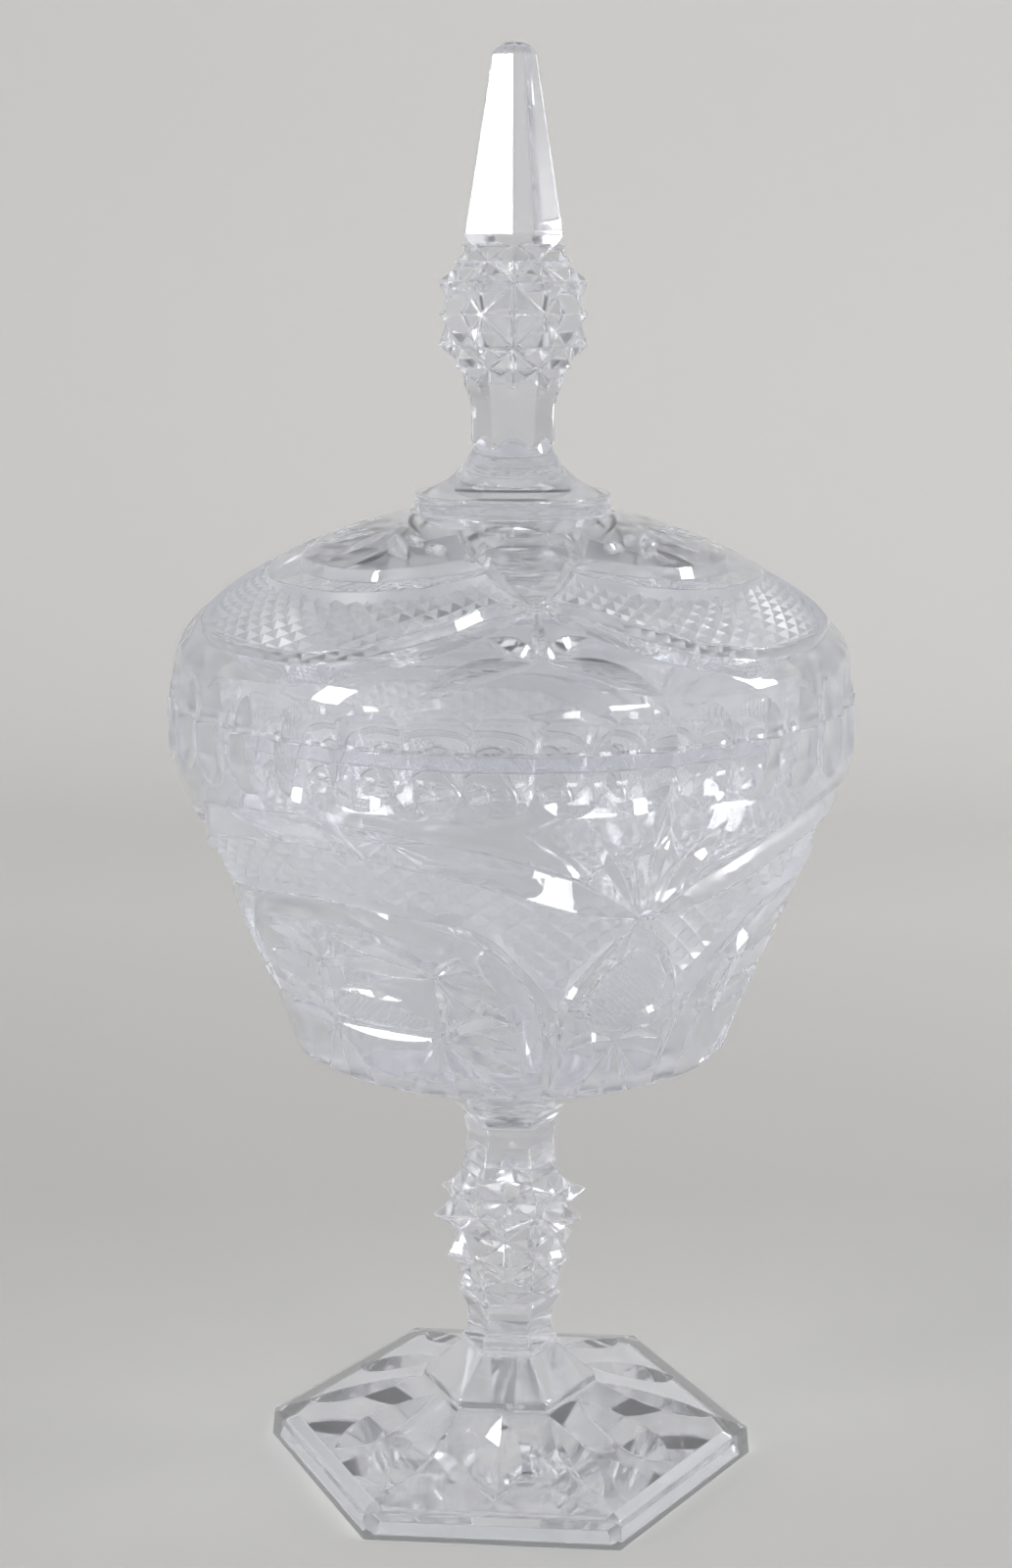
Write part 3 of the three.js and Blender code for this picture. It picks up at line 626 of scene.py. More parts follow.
def add_node(tree: bpy.types.NodeTree, kind: str, inputs: dict | None = None,
             **settings: object) -> bpy.types.Node:
    """Adds a node to a tree.

    Args:
        tree: The tree.
        kind: The node's type.
        inputs: Sockets or plain values for its inputs, by their name or number.
        settings: Values of its properties.

    Returns:
        The node.
    """
    node = tree.nodes.new(kind)
    for name, value in settings.items():
        setattr(node, name, value)
    for name, value in (inputs or {}).items():
        if isinstance(value, bpy.types.NodeSocket):
            tree.links.new(value, node.inputs[name])
        else:
            node.inputs[name].default_value = value
    return node


class Tree:
    """A Geometry Nodes tree under construction, with named inputs."""

    def __init__(self, name: str, **inputs: str) -> None:
        """Starts the tree with its glass going in and out.

        Args:
            name: Name of the tree.
            inputs: The kinds of its other inputs, by their names.
        """
        self.tree = bpy.data.node_groups.new(name, "GeometryNodeTree")
        self.tree.is_modifier = True
        sockets = self.tree.interface
        for way in ("INPUT", "OUTPUT"):
            sockets.new_socket("Glass", in_out=way, socket_type="NodeSocketGeometry")
        self.identifiers = {
            key: sockets.new_socket(key, in_out="INPUT", socket_type="NodeSocket" + kind).identifier
            for key, kind in {**inputs, "Finish": "Material"}.items()
        }
        self.inputs = self.node("NodeGroupInput").outputs
        self.result = self.inputs["Glass"]

    def node(self, kind: str, inputs: dict | None = None, **settings: object) -> bpy.types.Node:
        """Adds a node to this tree."""
        return add_node(self.tree, kind, inputs, **settings)

    def shape(self, name: str) -> bpy.types.NodeSocket:
        """Gives the geometry of the object in a named input."""
        return self.node("GeometryNodeObjectInfo", {"Object": self.inputs[name]}).outputs["Geometry"]

    def copies(self, name: str) -> bpy.types.NodeSocket:
        """Copies an object evenly round the axis and makes the copies real.

        Args:
            name: The object's input. The number of copies comes from the input Count.

        Returns:
            Socket of the copies.
        """
        count = self.inputs["Count"]
        single = self.node("GeometryNodeGeometryToInstance", {0: self.shape(name)})
        points = self.node("GeometryNodeMeshLine", {"Count": count, "Offset": (0, 0, 0)})
        index = self.node("GeometryNodeInputIndex")
        share = self.node("ShaderNodeMath", {0: index.outputs[0], 1: count}, operation="DIVIDE")
        full_turn = {0: share.outputs[0], 1: 2 * math.pi}
        angle = self.node("ShaderNodeMath", full_turn, operation="MULTIPLY")
        turn = self.node("ShaderNodeCombineXYZ", {"Z": angle.outputs[0]})
        placed = self.node("GeometryNodeInstanceOnPoints", {
            "Points": points.outputs[0], "Instance": single.outputs[0], "Rotation": turn.outputs[0],
        })
        return self.node("GeometryNodeRealizeInstances", {0: placed.outputs[0]}).outputs[0]

    def boolean(self, how: Operation, *parts: bpy.types.NodeSocket) -> bpy.types.NodeSocket:
        """Cuts, joins or intersects meshes.

        Args:
            how: The operation.
            parts: Sockets of the meshes. A cut takes the later ones off the first.

        Returns:
            Socket of the result.
        """
        node = self.node("GeometryNodeMeshBoolean", operation=how.value, solver="MANIFOLD")
        for number, part in enumerate(parts):
            is_cut = how is Operation.CUT and number == 0
            self.tree.links.new(part, node.inputs[0 if is_cut else 1])
        return node.outputs[0]

    def finish(self) -> "Tree":
        """Ends the tree with real instances and a material.

        Returns:
            The tree itself.
        """
        real = self.node("GeometryNodeRealizeInstances", {0: self.result})
        dress = {"Geometry": real.outputs[0], "Material": self.inputs["Finish"]}
        self.node("NodeGroupOutput", {0: self.node("GeometryNodeSetMaterial", dress).outputs[0]})
        return self

    def put_on(self, piece: bpy.types.Object, **values: object) -> None:
        """Adds the tree to a piece as a modifier.

        Args:
            piece: The object.
            values: Values of the named inputs.
        """
        modifier = piece.modifiers.new(self.tree.name, "NODES")
        modifier.node_group = self.tree
        for name, value in values.items():
            modifier[self.identifiers[name]] = value


def cut_round_tree() -> Tree:
    """Makes the tree that copies a cutter round the axis and takes the copies off the glass.

    Returns:
        The tree.
    """
    tree = Tree("cut_round_axis", Cutter="Object", Count="Int")
    tree.result = tree.boolean(Operation.CUT, tree.result, tree.copies("Cutter"))
    return tree.finish()


def relief_tree() -> Tree:
    """Makes the tree that cuts a relief into fields that are copied round the axis.

    Returns:
        The tree.
    """
    tree = Tree("cut_relief_in_fields", Relief="Object", Field="Object", Count="Int")
    clipped = tree.boolean(Operation.SHARE, tree.copies("Relief"), tree.copies("Field"))
    tree.result = tree.boolean(Operation.CUT, tree.result, clipped)
    return tree.finish()


def join_tree() -> Tree:
    """Makes the tree that joins another body to the glass.

    Returns:
        The tree.
    """
    tree = Tree("join_body", Body="Object")
    tree.result = tree.boolean(Operation.JOIN, tree.result, tree.shape("Body"))
    return tree.finish()


@dataclass(frozen=True)
class Crystal:
    """Clear lead crystal, fire polished, with a faint blue in the thick of it."""

    name: str = "crystal"
    color: tuple[float, float, float] = (0.835, 0.84, 0.87)
    clearness: float = 0.93
    edge_round: float = 0.0007
    ior: float = 1.54
    ripple_scale: float = 55.0
    ripple_depth: float = 0.00006
    cloud_scale: float = 220.0
    smoothest: float = 0.0
    roughest: float = 0.035
    shadow_gap: float = 0.91
    through_color: tuple[float, float, float] = (0.955, 0.962, 0.972)

    def build(self, polish: bpy.types.NodeTree) -> bpy.types.Material:
        """Makes the material.

        Args:
            polish: The group that gives ripple and roughness.

        Returns:
            The material.
        """
        material = bpy.data.materials.new(self.name)
        material.use_nodes = True
        tree = material.node_tree
        shader = tree.nodes["Principled BSDF"]
        shader.inputs["Base Color"].default_value = (*self.color, 1)
        shader.inputs["Metallic"].default_value = 0
        shader.inputs["IOR"].default_value = self.ior
        shader.inputs["Transmission Weight"].default_value = self.clearness
        group = add_node(tree, "ShaderNodeGroup", {
            "Ripple Scale": self.ripple_scale, "Cloud Scale": self.cloud_scale,
            "Smoothest": self.smoothest, "Roughest": self.roughest,
        }, node_tree=polish)
        edges = add_node(tree, "ShaderNodeBevel", {"Radius": self.edge_round}, samples=BEVEL_SAMPLES)
        bump = add_node(tree, "ShaderNodeBump", {
            "Strength": 1, "Distance": self.ripple_depth,
            "Height": group.outputs["Height"], "Normal": edges.outputs["Normal"],
        })
        tree.links.new(bump.outputs["Normal"], shader.inputs["Normal"])
        tree.links.new(group.outputs["Roughness"], shader.inputs["Roughness"])
        clear = add_node(tree, "ShaderNodeBsdfTransparent", {"Color": (*self.through_color, 1)})
        shadow = add_node(tree, "ShaderNodeLightPath").outputs["Is Shadow Ray"]
        share = add_node(tree, "ShaderNodeMath", {0: shadow, 1: self.shadow_gap}, operation="MULTIPLY")
        mixed = {0: share.outputs[0], 1: shader.outputs[0], 2: clear.outputs[0]}
        mix = add_node(tree, "ShaderNodeMixShader", mixed)
        tree.links.new(mix.outputs[0], tree.nodes["Material Output"].inputs["Surface"])
        return material


def polish_group() -> bpy.types.NodeTree:
    """Makes the shader group for fire-polished glass: a slow ripple and a faint uneven gloss.

    Returns:
        The group.
    """
    group = bpy.data.node_groups.new("fire_polish", "ShaderNodeTree")
    sockets = {
        "INPUT": ("Ripple Scale", "Cloud Scale", "Smoothest", "Roughest"),
        "OUTPUT": ("Height", "Roughness"),
    }
    for way, names in sockets.items():
        for name in names:
            group.interface.new_socket(name, in_out=way, socket_type="NodeSocketFloat")
    given = add_node(group, "NodeGroupInput").outputs
    place = add_node(group, "ShaderNodeTexCoord").outputs["Object"]
    ripple, cloud = (
        add_node(group, "ShaderNodeTexNoise", {"Vector": place, "Scale": given[scale], "Detail": 1})
        for scale in ("Ripple Scale", "Cloud Scale")
    )
    spread = add_node(group, "ShaderNodeMapRange", {
        "Value": cloud.outputs["Fac"], "From Min": CLOUDS[0], "From Max": CLOUDS[1],
        "To Min": given["Smoothest"], "To Max": given["Roughest"],
    })
    given_out = {"Height": ripple.outputs["Fac"], "Roughness": spread.outputs["Result"]}
    add_node(group, "NodeGroupOutput", given_out)
    return group


def add_ramp(tree: bpy.types.NodeTree, factor: bpy.types.NodeSocket, stops: Sequence[tuple],
             interpolation: str = "LINEAR") -> bpy.types.NodeSocket:
    """Adds a colour ramp.

    Args:
        tree: The tree.
        factor: Socket that drives the ramp.
        stops: Pairs of a place and a colour, two or more.
        interpolation: How the colours run into each other.

    Returns:
        Socket of the colour.
    """
    ramp = add_node(tree, "ShaderNodeValToRGB", {"Fac": factor})
    ramp.color_ramp.interpolation = interpolation
    elements = ramp.color_ramp.elements
    for place, _ in stops[2:]:
        elements.new(place)
    for element, (place, color) in zip(elements, stops):
        element.position, element.color = place, (*color, 1)
    return ramp.outputs["Color"]


def seam_finish() -> bpy.types.Material:
    """Makes the finish of faces where two pressings are fused, which light doesn't notice.

    Returns:
        The material.
    """
    material = bpy.data.materials.new("fused_seam")
    material.use_nodes = True
    material.node_tree.nodes["Principled BSDF"].inputs["Alpha"].default_value = 0
    return material


POINTS = Crystal(
    name="crystal_points", smoothest=0.32, roughest=0.42, ripple_depth=0.00002, edge_round=0.0002,
)


class Workshop:
    """What every pressing is made with: the trees and the finishes."""

    def __init__(self) -> None:
        """Makes the trees, and the two finishes of the glass from one polish."""
        self.cut_round, self.relief, self.join = cut_round_tree(), relief_tree(), join_tree()
        polish = polish_group()
        self.crystal, self.points = Crystal().build(polish), POINTS.build(polish)
        self.seam = seam_finish()

    def cut(self, piece: bpy.types.Object, bodies: Sequence[Body], sectors: int) -> None:
        """Cuts a piece with cutters that are copied round the axis.

        Args:
            piece: The blank.
            bodies: The cutters of one sector.
            sectors: Number of copies round the axis.
        """
        for number, group in enumerate(apart(bodies, sectors)):
            cutter = joined(group).to_object(f"{piece.name}_cutter_{sectors}_{number}")
            self.cut_round.put_on(piece, Cutter=cutter, Count=sectors, Finish=self.crystal)

    def cut_relief(self, piece: bpy.types.Object, relief: Body, area: Body, sectors: int) -> None:
        """Cuts a relief into a piece, only inside an area.

        Args:
            piece: The blank.
            relief: Cutter whose inner side is the relief.
            area: Body of the field that takes it.
            sectors: Number of copies round the axis.
        """
        tools = [b.to_object(f"{piece.name}_{n}") for b, n in ((relief, "relief"), (area, "field"))]
        self.relief.put_on(piece, Relief=tools[0], Field=tools[1], Count=sectors, Finish=self.crystal)

    def bake(self, piece: bpy.types.Object) -> bpy.types.Mesh:
        """Turns a piece with its modifiers into a plain mesh.

        Args:
            piece: The object, whose modifiers are removed.

        Returns:
            The mesh.
        """
        bpy.context.scene.collection.objects.link(piece)
        graph = bpy.context.evaluated_depsgraph_get()
        mesh = bpy.data.meshes.new_from_object(piece.evaluated_get(graph))
        piece.modifiers.clear()
        piece.data = mesh
        bpy.context.scene.collection.objects.unlink(piece)
        return mesh

    def deliver(self, piece: bpy.types.Object, node: str, body: str, seams: Sequence[Pair],
                fields: Sequence[Area] = ()) -> None:
        """Finishes a pressing: plain mesh, crisp edges, seams, and its place in the frame.

        Args:
            piece: The blank with its cuts.
            node: CAD node that it stands for.
            body: CAD body that it rides on.
            seams: Height and radius of each face that is fused to a neighbour.
            fields: Areas of small points, which keep the mould's duller skin.
        """
        mesh = self.bake(piece)
        mesh.materials.clear()
        for finish in (self.crystal, self.seam, self.points):
            mesh.materials.append(finish)
        middles = np.array([polygon.center for polygon in mesh.polygons]) / MM
        level = np.abs([polygon.normal.z for polygon in mesh.polygons]) > LEVEL
        slots = np.full(len(middles), CRYSTAL_SLOT)
        for area in fields:
            slots[area.holds(middles)] = POINTS_SLOT
        for height, radius in seams:
            near = np.abs(middles[:, 2] - height) < SEAM_TOLERANCE
            slots[level & near & (np.hypot(*middles.T[:2]) < radius)] = SEAM_SLOT
        mesh.polygons.foreach_set("material_index", slots.tolist())
        mesh.shade_smooth()
        mesh.set_sharp_from_angle(angle=math.radians(SHARP_ANGLE))
        bpy.context.scene.collection.objects.link(piece)
        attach(piece, body)
        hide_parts(node)
        mesh.calc_loop_triangles()
        loose = open_edges(mesh)
        log.info("%s: %d triangles, %d open edges", piece.name, len(mesh.loop_triangles), loose)


def open_edges(mesh: bpy.types.Mesh) -> int:
    """Counts the edges that don't have two faces.

    Args:
        mesh: The mesh.

    Returns:
        Their number.
    """
    work = bmesh.new()
    work.from_mesh(mesh)
    count = sum(1 for edge in work.edges if len(edge.link_faces) != 2)
    work.free()
    return count


def span(node: str) -> tuple[float, float, float]:
    """Gives a CAD node's lowest and highest height and its greatest reach to the side."""
    low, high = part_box(node)
    return low.z / MM, high.z / MM, high.x / MM


@dataclass(frozen=True)
class Ring:
    """One ring of a faceted column: its rise, and its radii at a flat and at a corner."""

    rise: float
    flat: float
    corner: float
    corner_valley: bool = False


def column(rings: Sequence[Ring], base: float, turn: float) -> Body:
    """Makes a six-sided column whose facets meet in diamonds.

    Args:
        rings: The rings, from the lowest.
        base: Height that the first ring's rise starts from.
        turn: Azimuth of a flat.

    Returns:
        The closed column.
    """
    height = base
    points = []
    for ring in rings:
        height += ring.rise
        points += [around((ring.flat, ring.corner)[i % 2], turn + 30 * i, height) for i in range(12)]
    faces = end_faces(12, len(rings))
    for number, face in enumerate(ring_faces(12, len(rings))):
        faces += halves(face, (number % 2 == 1) == rings[number // 12].corner_valley)
    return Body(np.array(points), faces)


def hexagon(levels: Sequence[Pair], turn: float) -> Body:
    """Makes a six-sided stack.

    Args:
        levels: Pairs of a corner's radius and a height, from the lowest.
        turn: Azimuth of a corner.

    Returns:
        The closed stack.
    """
    points = [around(radius, turn + 60 * i, z) for radius, z in levels for i in range(6)]
    return Body(np.array(points), end_faces(6, len(levels)) + ring_faces(6, len(levels)))


def bevelled(piece: bpy.types.Object, width: float, segments: int) -> bpy.types.Object:
    """Puts a small round on the edges of a piece.

    Args:
        piece: The object.
        width: Width of the round.
        segments: Number of facets across it.

    Returns:
        The same object.
    """
    modifier = piece.modifiers.new("edge_round", "BEVEL")
    modifier.width = width * MM
    modifier.segments = segments
    modifier.limit_method = "ANGLE"
    modifier.angle_limit = math.radians(ROUNDED_ANGLE)
    modifier.use_clamp_overlap = True
    return piece


def both_sides(cuts: Sequence[Cut]) -> list[Cut]:
    """Gives cuts and their mirror images."""
    return [each for cut in cuts for each in (cut, cut.mirrored())]


def symmetric(half: Sequence[Pair]) -> tuple[Pair, ...]:
    """Completes a line that is given from its middle, at azimuth 0, to its right end."""
    left = [(-a, w) for a, w in reversed(half) if a > 0]
    return (*left, *half)


@dataclass
class Bowl:
    """The deep bowl, with its garland of clear bands, diamond points and stars."""

    seat_radius: float = 25.0
    edge_radius: float = 61.2
    edge_rise: float = 15.5
    shoulder_drop: float = 35.0
    shoulder_inset: float = 7.8
    band_depth: float = 13.0
    wall: float = 6.2
    floor: float = 11.0
    segments: int = 240
    sectors: int = 3
    star: float = 23.8
    flank_pulls: Pair = (6.3, 7.9)
    clear_band_depth: float = 2.5
    clear_band_widest: float = 8.0
    fan_depth: float = 3.1
    fan_start: float = 2.4
    fan_overlap: float = 1.02
    field_pocket: float = 4.0
    hatch_pocket: float = 2.0
    thumbprints: Thumbprints = Thumbprints(34, -2.0, 15.0, 1.9)
    points: Relief = Relief((-60, 60), (5.0, 6.0), 1.4, 2.7)
    points_heights: Pair = (150, 206)
    hatch: Relief = Relief((-30, 90), (1.5, 1.9), 0.3, 0.85)
    hatch_heights: Pair = (146, 175)
    hatch_skin: float = 0.95

    def __post_init__(self) -> None:
        """Takes the heights and the rim from the frame and draws the outline."""
        self.base, self.rim, self.rim_radius = span("bowl")
        edge = (self.edge_radius, self.base + self.edge_rise)
        shoulder = (self.rim_radius - self.shoulder_inset, self.rim - self.shoulder_drop)
        chest = (self.rim_radius, self.rim - self.band_depth)
        drop = shoulder[1] - edge[1]
        low_pull, high_pull = self.flank_pulls
        pull = (edge[0] + low_pull, edge[1] + 0.3 * drop)
        pulls = pull, (shoulder[0] - high_pull, shoulder[1] - 0.3 * drop)
        flank = bezier(edge, *pulls, shoulder, 18)
        upper = bezier(shoulder, (shoulder[0] + 3, shoulder[1] + 9), (chest[0], chest[1] - 5), chest, 8)
        straight = [(self.rim_radius, z) for z in np.linspace(chest[1], self.rim, 3)[1:]]
        self.outside = [edge, *flank, *upper, *straight]
        run_out = tuple(here + (here - inward) for here, inward in zip(edge, flank[0]))
        self.skin = Skin([run_out, *self.outside])

    def ways(self, heights: Sequence[float]) -> list[float]:
        """Gives the ways along the skin to heights."""
        return [float(self.skin.way_at_height(height)) for height in heights]

    def line(self, pairs: Sequence[Pair]) -> tuple[Pair, ...]:
        """Gives places on the skin for pairs of an azimuth and a height."""
        azimuths, heights = zip(*pairs)
        return tuple(zip(azimuths, self.ways(heights)))

    def cuts(self, rows: Sequence[tuple]) -> list[Cut]:
        """Gives a cut for each row: pairs of an azimuth and a height, width, depth and the rest."""
        return [Cut(self.line(pairs), *rest) for pairs, *rest in rows]

    def inside(self) -> list[Pair]:
        """Gives the outline of the hollow, from the rim to the axis.

        Returns:
            Pairs of radius and height.
        """
        mouth = self.rim_radius - self.wall
        floor = self.base + self.floor
        band = (mouth, self.rim - self.band_depth)
        turn = (self.edge_radius - self.wall, floor + 9)
        return [
            (mouth, self.rim),
            band,
            *bezier(band, (mouth - 4, self.rim - self.shoulder_drop), (turn[0] + 9, turn[1] + 24), turn, 24),
            *bezier(turn, (turn[0] - 3, turn[1] - 7), (turn[0] - 12, floor), (turn[0] - 24, floor), 10),
            (0, floor),
        ]

    def blank(self) -> bpy.types.Object:
        """Makes the turned blank."""
        outline = [(0, self.base), (self.seat_radius, self.base), *self.outside, *self.inside()]
        return turned(outline, self.segments).to_object("bowl_crystal")

    def garland(self) -> list[Body]:
        """Makes the cutters of the outer clear band and of the inner arch.

        Returns:
            The closed cutters.
        """
        upper = [
            (0, 209), (15.1, 207), (23.6, 205), (30.9, 203), (36.2, 200.5), (46.8, 195), (54.2, 187),
            (59.5, 182),
        ]
        lower = [
            (0, 200.8), (15.1, 198), (23.6, 196), (30.9, 193.5), (37.3, 190), (45.7, 185.5), (59.5, 181.2),
        ]
        band = Strip(self.line(symmetric(lower)), self.line(symmetric(upper)))
        arch = [
            (0, 181), (10, 180.3), (20, 177.5), (27, 173.5), (33, 167.5), (37, 160.5), (40, 152),
            (41.5, 143), (42, 126.5),
        ]
        inner = Cut(self.line(symmetric(arch)), 7.6, 2.3, Section.BAND, Ends.EVEN, stations=61)
        outer = band.body(self.skin, self.clear_band_depth, Section.BAND, self.clear_band_widest)
        return [outer, inner.body(self.skin)]

    def field(self) -> Strip:
        """Gives the field that the diamond points fill.

        Returns:
            The field of one arch.
        """
        upper = [
            (0, 200.3), (15.1, 197.5), (23.6, 195.5), (30.9, 193), (37.3, 189.5), (45.7, 185), (58.5, 181),
        ]
        lower = [
            (0, 185.5), (27.8, 181), (33.1, 177), (36.2, 172), (39.4, 167), (42.6, 161), (45.4, 154.5),
            (47.5, 160.5), (52.5, 170.5), (58.5, 180),
        ]
        return Strip(self.line(symmetric(lower)), self.line(symmetric(upper)), 1.0)

    def hatched(self) -> list[Strip]:
        """Gives the fine-hatched oval below the star and the strip inside the arch.

        Returns:
            The oval and the strip.
        """
        outlines = (
            ([(-9.5, 155), (-6, 149.5), (0, 147.5), (5, 150), (9, 155.5)],
             [(-9.5, 156.5), (-6, 165), (0, 173.5), (5, 170.5), (9, 162.5)]),
            ([(-6, 148.5), (6, 147.8), (19, 148.5)],
             [(-6, 151.5), (0, 155.5), (6, 156.4), (12, 155), (19, 151)]),
        )
        return [Strip(self.line(low), self.line(high), 1.0) for low, high in outlines]

    def fans(self, node: Pair, ends: Sequence[float]) -> list[Cut]:
        """Gives wedges that spread from a node to the lower edge and meet in ridges.

        Args:
            node: Azimuth and height of the node.
            ends: Azimuths of the ridges at the edge.

        Returns:
            One cut for each gap between two ridges.
        """
        per_degree = math.radians(self.edge_radius)
        cuts = []
        for left, right in zip(ends, ends[1:]):
            path = self.line([((left + right) / 2, self.base + self.edge_rise - self.fan_start), node])
            width = (right - left) * per_degree * self.fan_overlap
            cuts.append(Cut(path, width, self.fan_depth, Section.MITRE, Ends.DART))
        return cuts

    def star_cuts(self) -> list[Cut]:
        """Gives the cuts of the fan above the star and of the cross grooves below it.

        Returns:
            The cuts, with the star's middle at azimuth 0.
        """
        cross = self.line([(1.2, 181), (7.5, 170), (12.5, 160), (14, 153), (14.2, 141), (14, 126.5)])
        mast, *fan = self.cuts([
            ([(0, 186), (0, 214)], 4.7, 2.11, Section.MITRE, Ends.POINTED, 0.6),
            ([(1.5, 183), (5, 194), (11.7, 208)], 6.16, 1.98, Section.MITRE, Ends.POINTED, 0.6),
            ([(0.8, 184), (2.6, 192), (4.5, 201)], 3.81, 1.85),
        ])
        return [mast, *both_sides([Cut(cross, 3.2, 1.5, stations=25), *fan])]

    def arch_cuts(self) -> list[Cut]:
        """Gives the cuts inside the inner arch.

        Returns:
            The cuts, with the arch's middle at azimuth 0.
        """
        leaves = self.cuts([
            ([(-4.3, 166), (8, 167), (20.8, 165)], 5.82, 2.11),
            ([(-2, 157.5), (5, 159), (13.5, 157)], 4.7, 1.72, Section.FLUTE),
            ([(-6.8, 146), (7, 145.6), (20.7, 146)], 3.36, 1.85),
            ([(20.8, 165), (22.6, 155), (20.7, 146)], 3.81, 1.85),
            ([(-4.3, 166), (-6.4, 156), (-6.8, 146)], 3.81, 1.85),
            ([(20.8, 165), (10, 171.5), (0, 174.5)], 5.6, 2.11),
            ([(-4.3, 166), (0, 174.5)], 4.03, 1.85),
            ([(20.8, 165), (27, 172)], 3.81, 1.85),
            ([(20.8, 165), (28, 165.5), (33.5, 161)], 5.15, 1.98),
            ([(20.8, 165), (29, 158), (36.5, 152.5)], 5.15, 1.98),
            ([(20.7, 146), (28, 151.5), (36.5, 152)], 4.7, 1.85),
            ([(20.7, 146), (29, 146.8), (37.5, 144)], 4.7, 1.85),
            ([(20.7, 146), (30, 141), (38, 137)], 4.93, 1.98),
            ([(25.7, 177), (32.5, 172.5), (37.8, 164)], 5.6, 1.58, Section.FLUTE),
            ([(-4.3, 166), (-12, 171), (-20, 171)], 4.93, 1.98),
            ([(-4.3, 166), (-14, 163), (-24, 163)], 5.15, 1.98),
            ([(-6.8, 146), (-14, 153.5), (-24, 157)], 5.15, 1.98),
            ([(-6.8, 146), (-16, 147.5), (-26, 146)], 4.93, 1.98),
            ([(-28, 168), (-31, 157), (-31, 146)], 5.15, 1.98, Section.FLUTE),
        ])
        right = self.fans((20.7, 145.4), (3.5, 13, 24, 35, 39.5))
        left = self.fans((-6.8, 145.4), (-29, -19, -9, 1.5))
        return [*leaves, *right, *left]

    def foot_cuts(self) -> list[Cut]:
        """Gives the cuts around the star's two side nodes and its lower node.

        Returns:
            The cuts, with the star's middle at azimuth 0.
        """
        leaf, *rays = self.cuts([
            ([(-9.5, 158), (-7.4, 165), (-4, 171)], 3.58, 1.58, Section.FLUTE),
            ([(12.9, 156), (2, 151)], 2.91, 1.45),
            ([(0.6, 145), (6, 147), (12, 143.5)], 4.03, 1.85),
        ])
        return [leaf, *both_sides(rays), *self.fans((0, 144.4), (-11.5, -2.5, 6, 12))]

    def build(self, shop: Workshop) -> None:
        """Makes the bowl.

        Args:
            shop: The trees and finishes.
        """
        piece = self.blank()
        prints = self.thumbprints.body(self.skin, self.skin.way[-1], False)
        shop.cut(piece, [prints], self.thumbprints.count)
        arch = self.star - 180 / self.sectors
        field, (oval, strip) = self.field(), self.hatched()
        points = self.points.body(self.skin, self.ways(self.points_heights))
        pocket = field.pocket(self.skin, self.field_pocket)
        shop.cut_relief(piece, points.spun(arch), pocket.spun(arch), self.sectors)
        hatch = self.hatch.body(self.skin, self.ways(self.hatch_heights))
        places = (oval, self.star), (strip, arch)
        pockets = [area.pocket(self.skin, self.hatch_pocket).spun(turn) for area, turn in places]
        shop.cut_relief(piece, hatch.spun(arch), joined(pockets), self.sectors)
        bodies = [body.spun(arch) for body in self.garland()]
        for cuts, turn in ((self.arch_cuts(), arch), (self.star_cuts() + self.foot_cuts(), self.star)):
            bodies += [cut.turned_by(turn).body(self.skin) for cut in cuts]
        shop.cut(piece, bodies, self.sectors)
        areas = [
            Area(self.skin, field, arch, self.sectors),
            Area(self.skin, strip, arch, self.sectors, self.hatch_skin),
            Area(self.skin, oval, self.star, self.sectors, self.hatch_skin),
        ]
        shop.deliver(piece, "bowl", "compote", [(self.base, self.seat_radius)], areas)


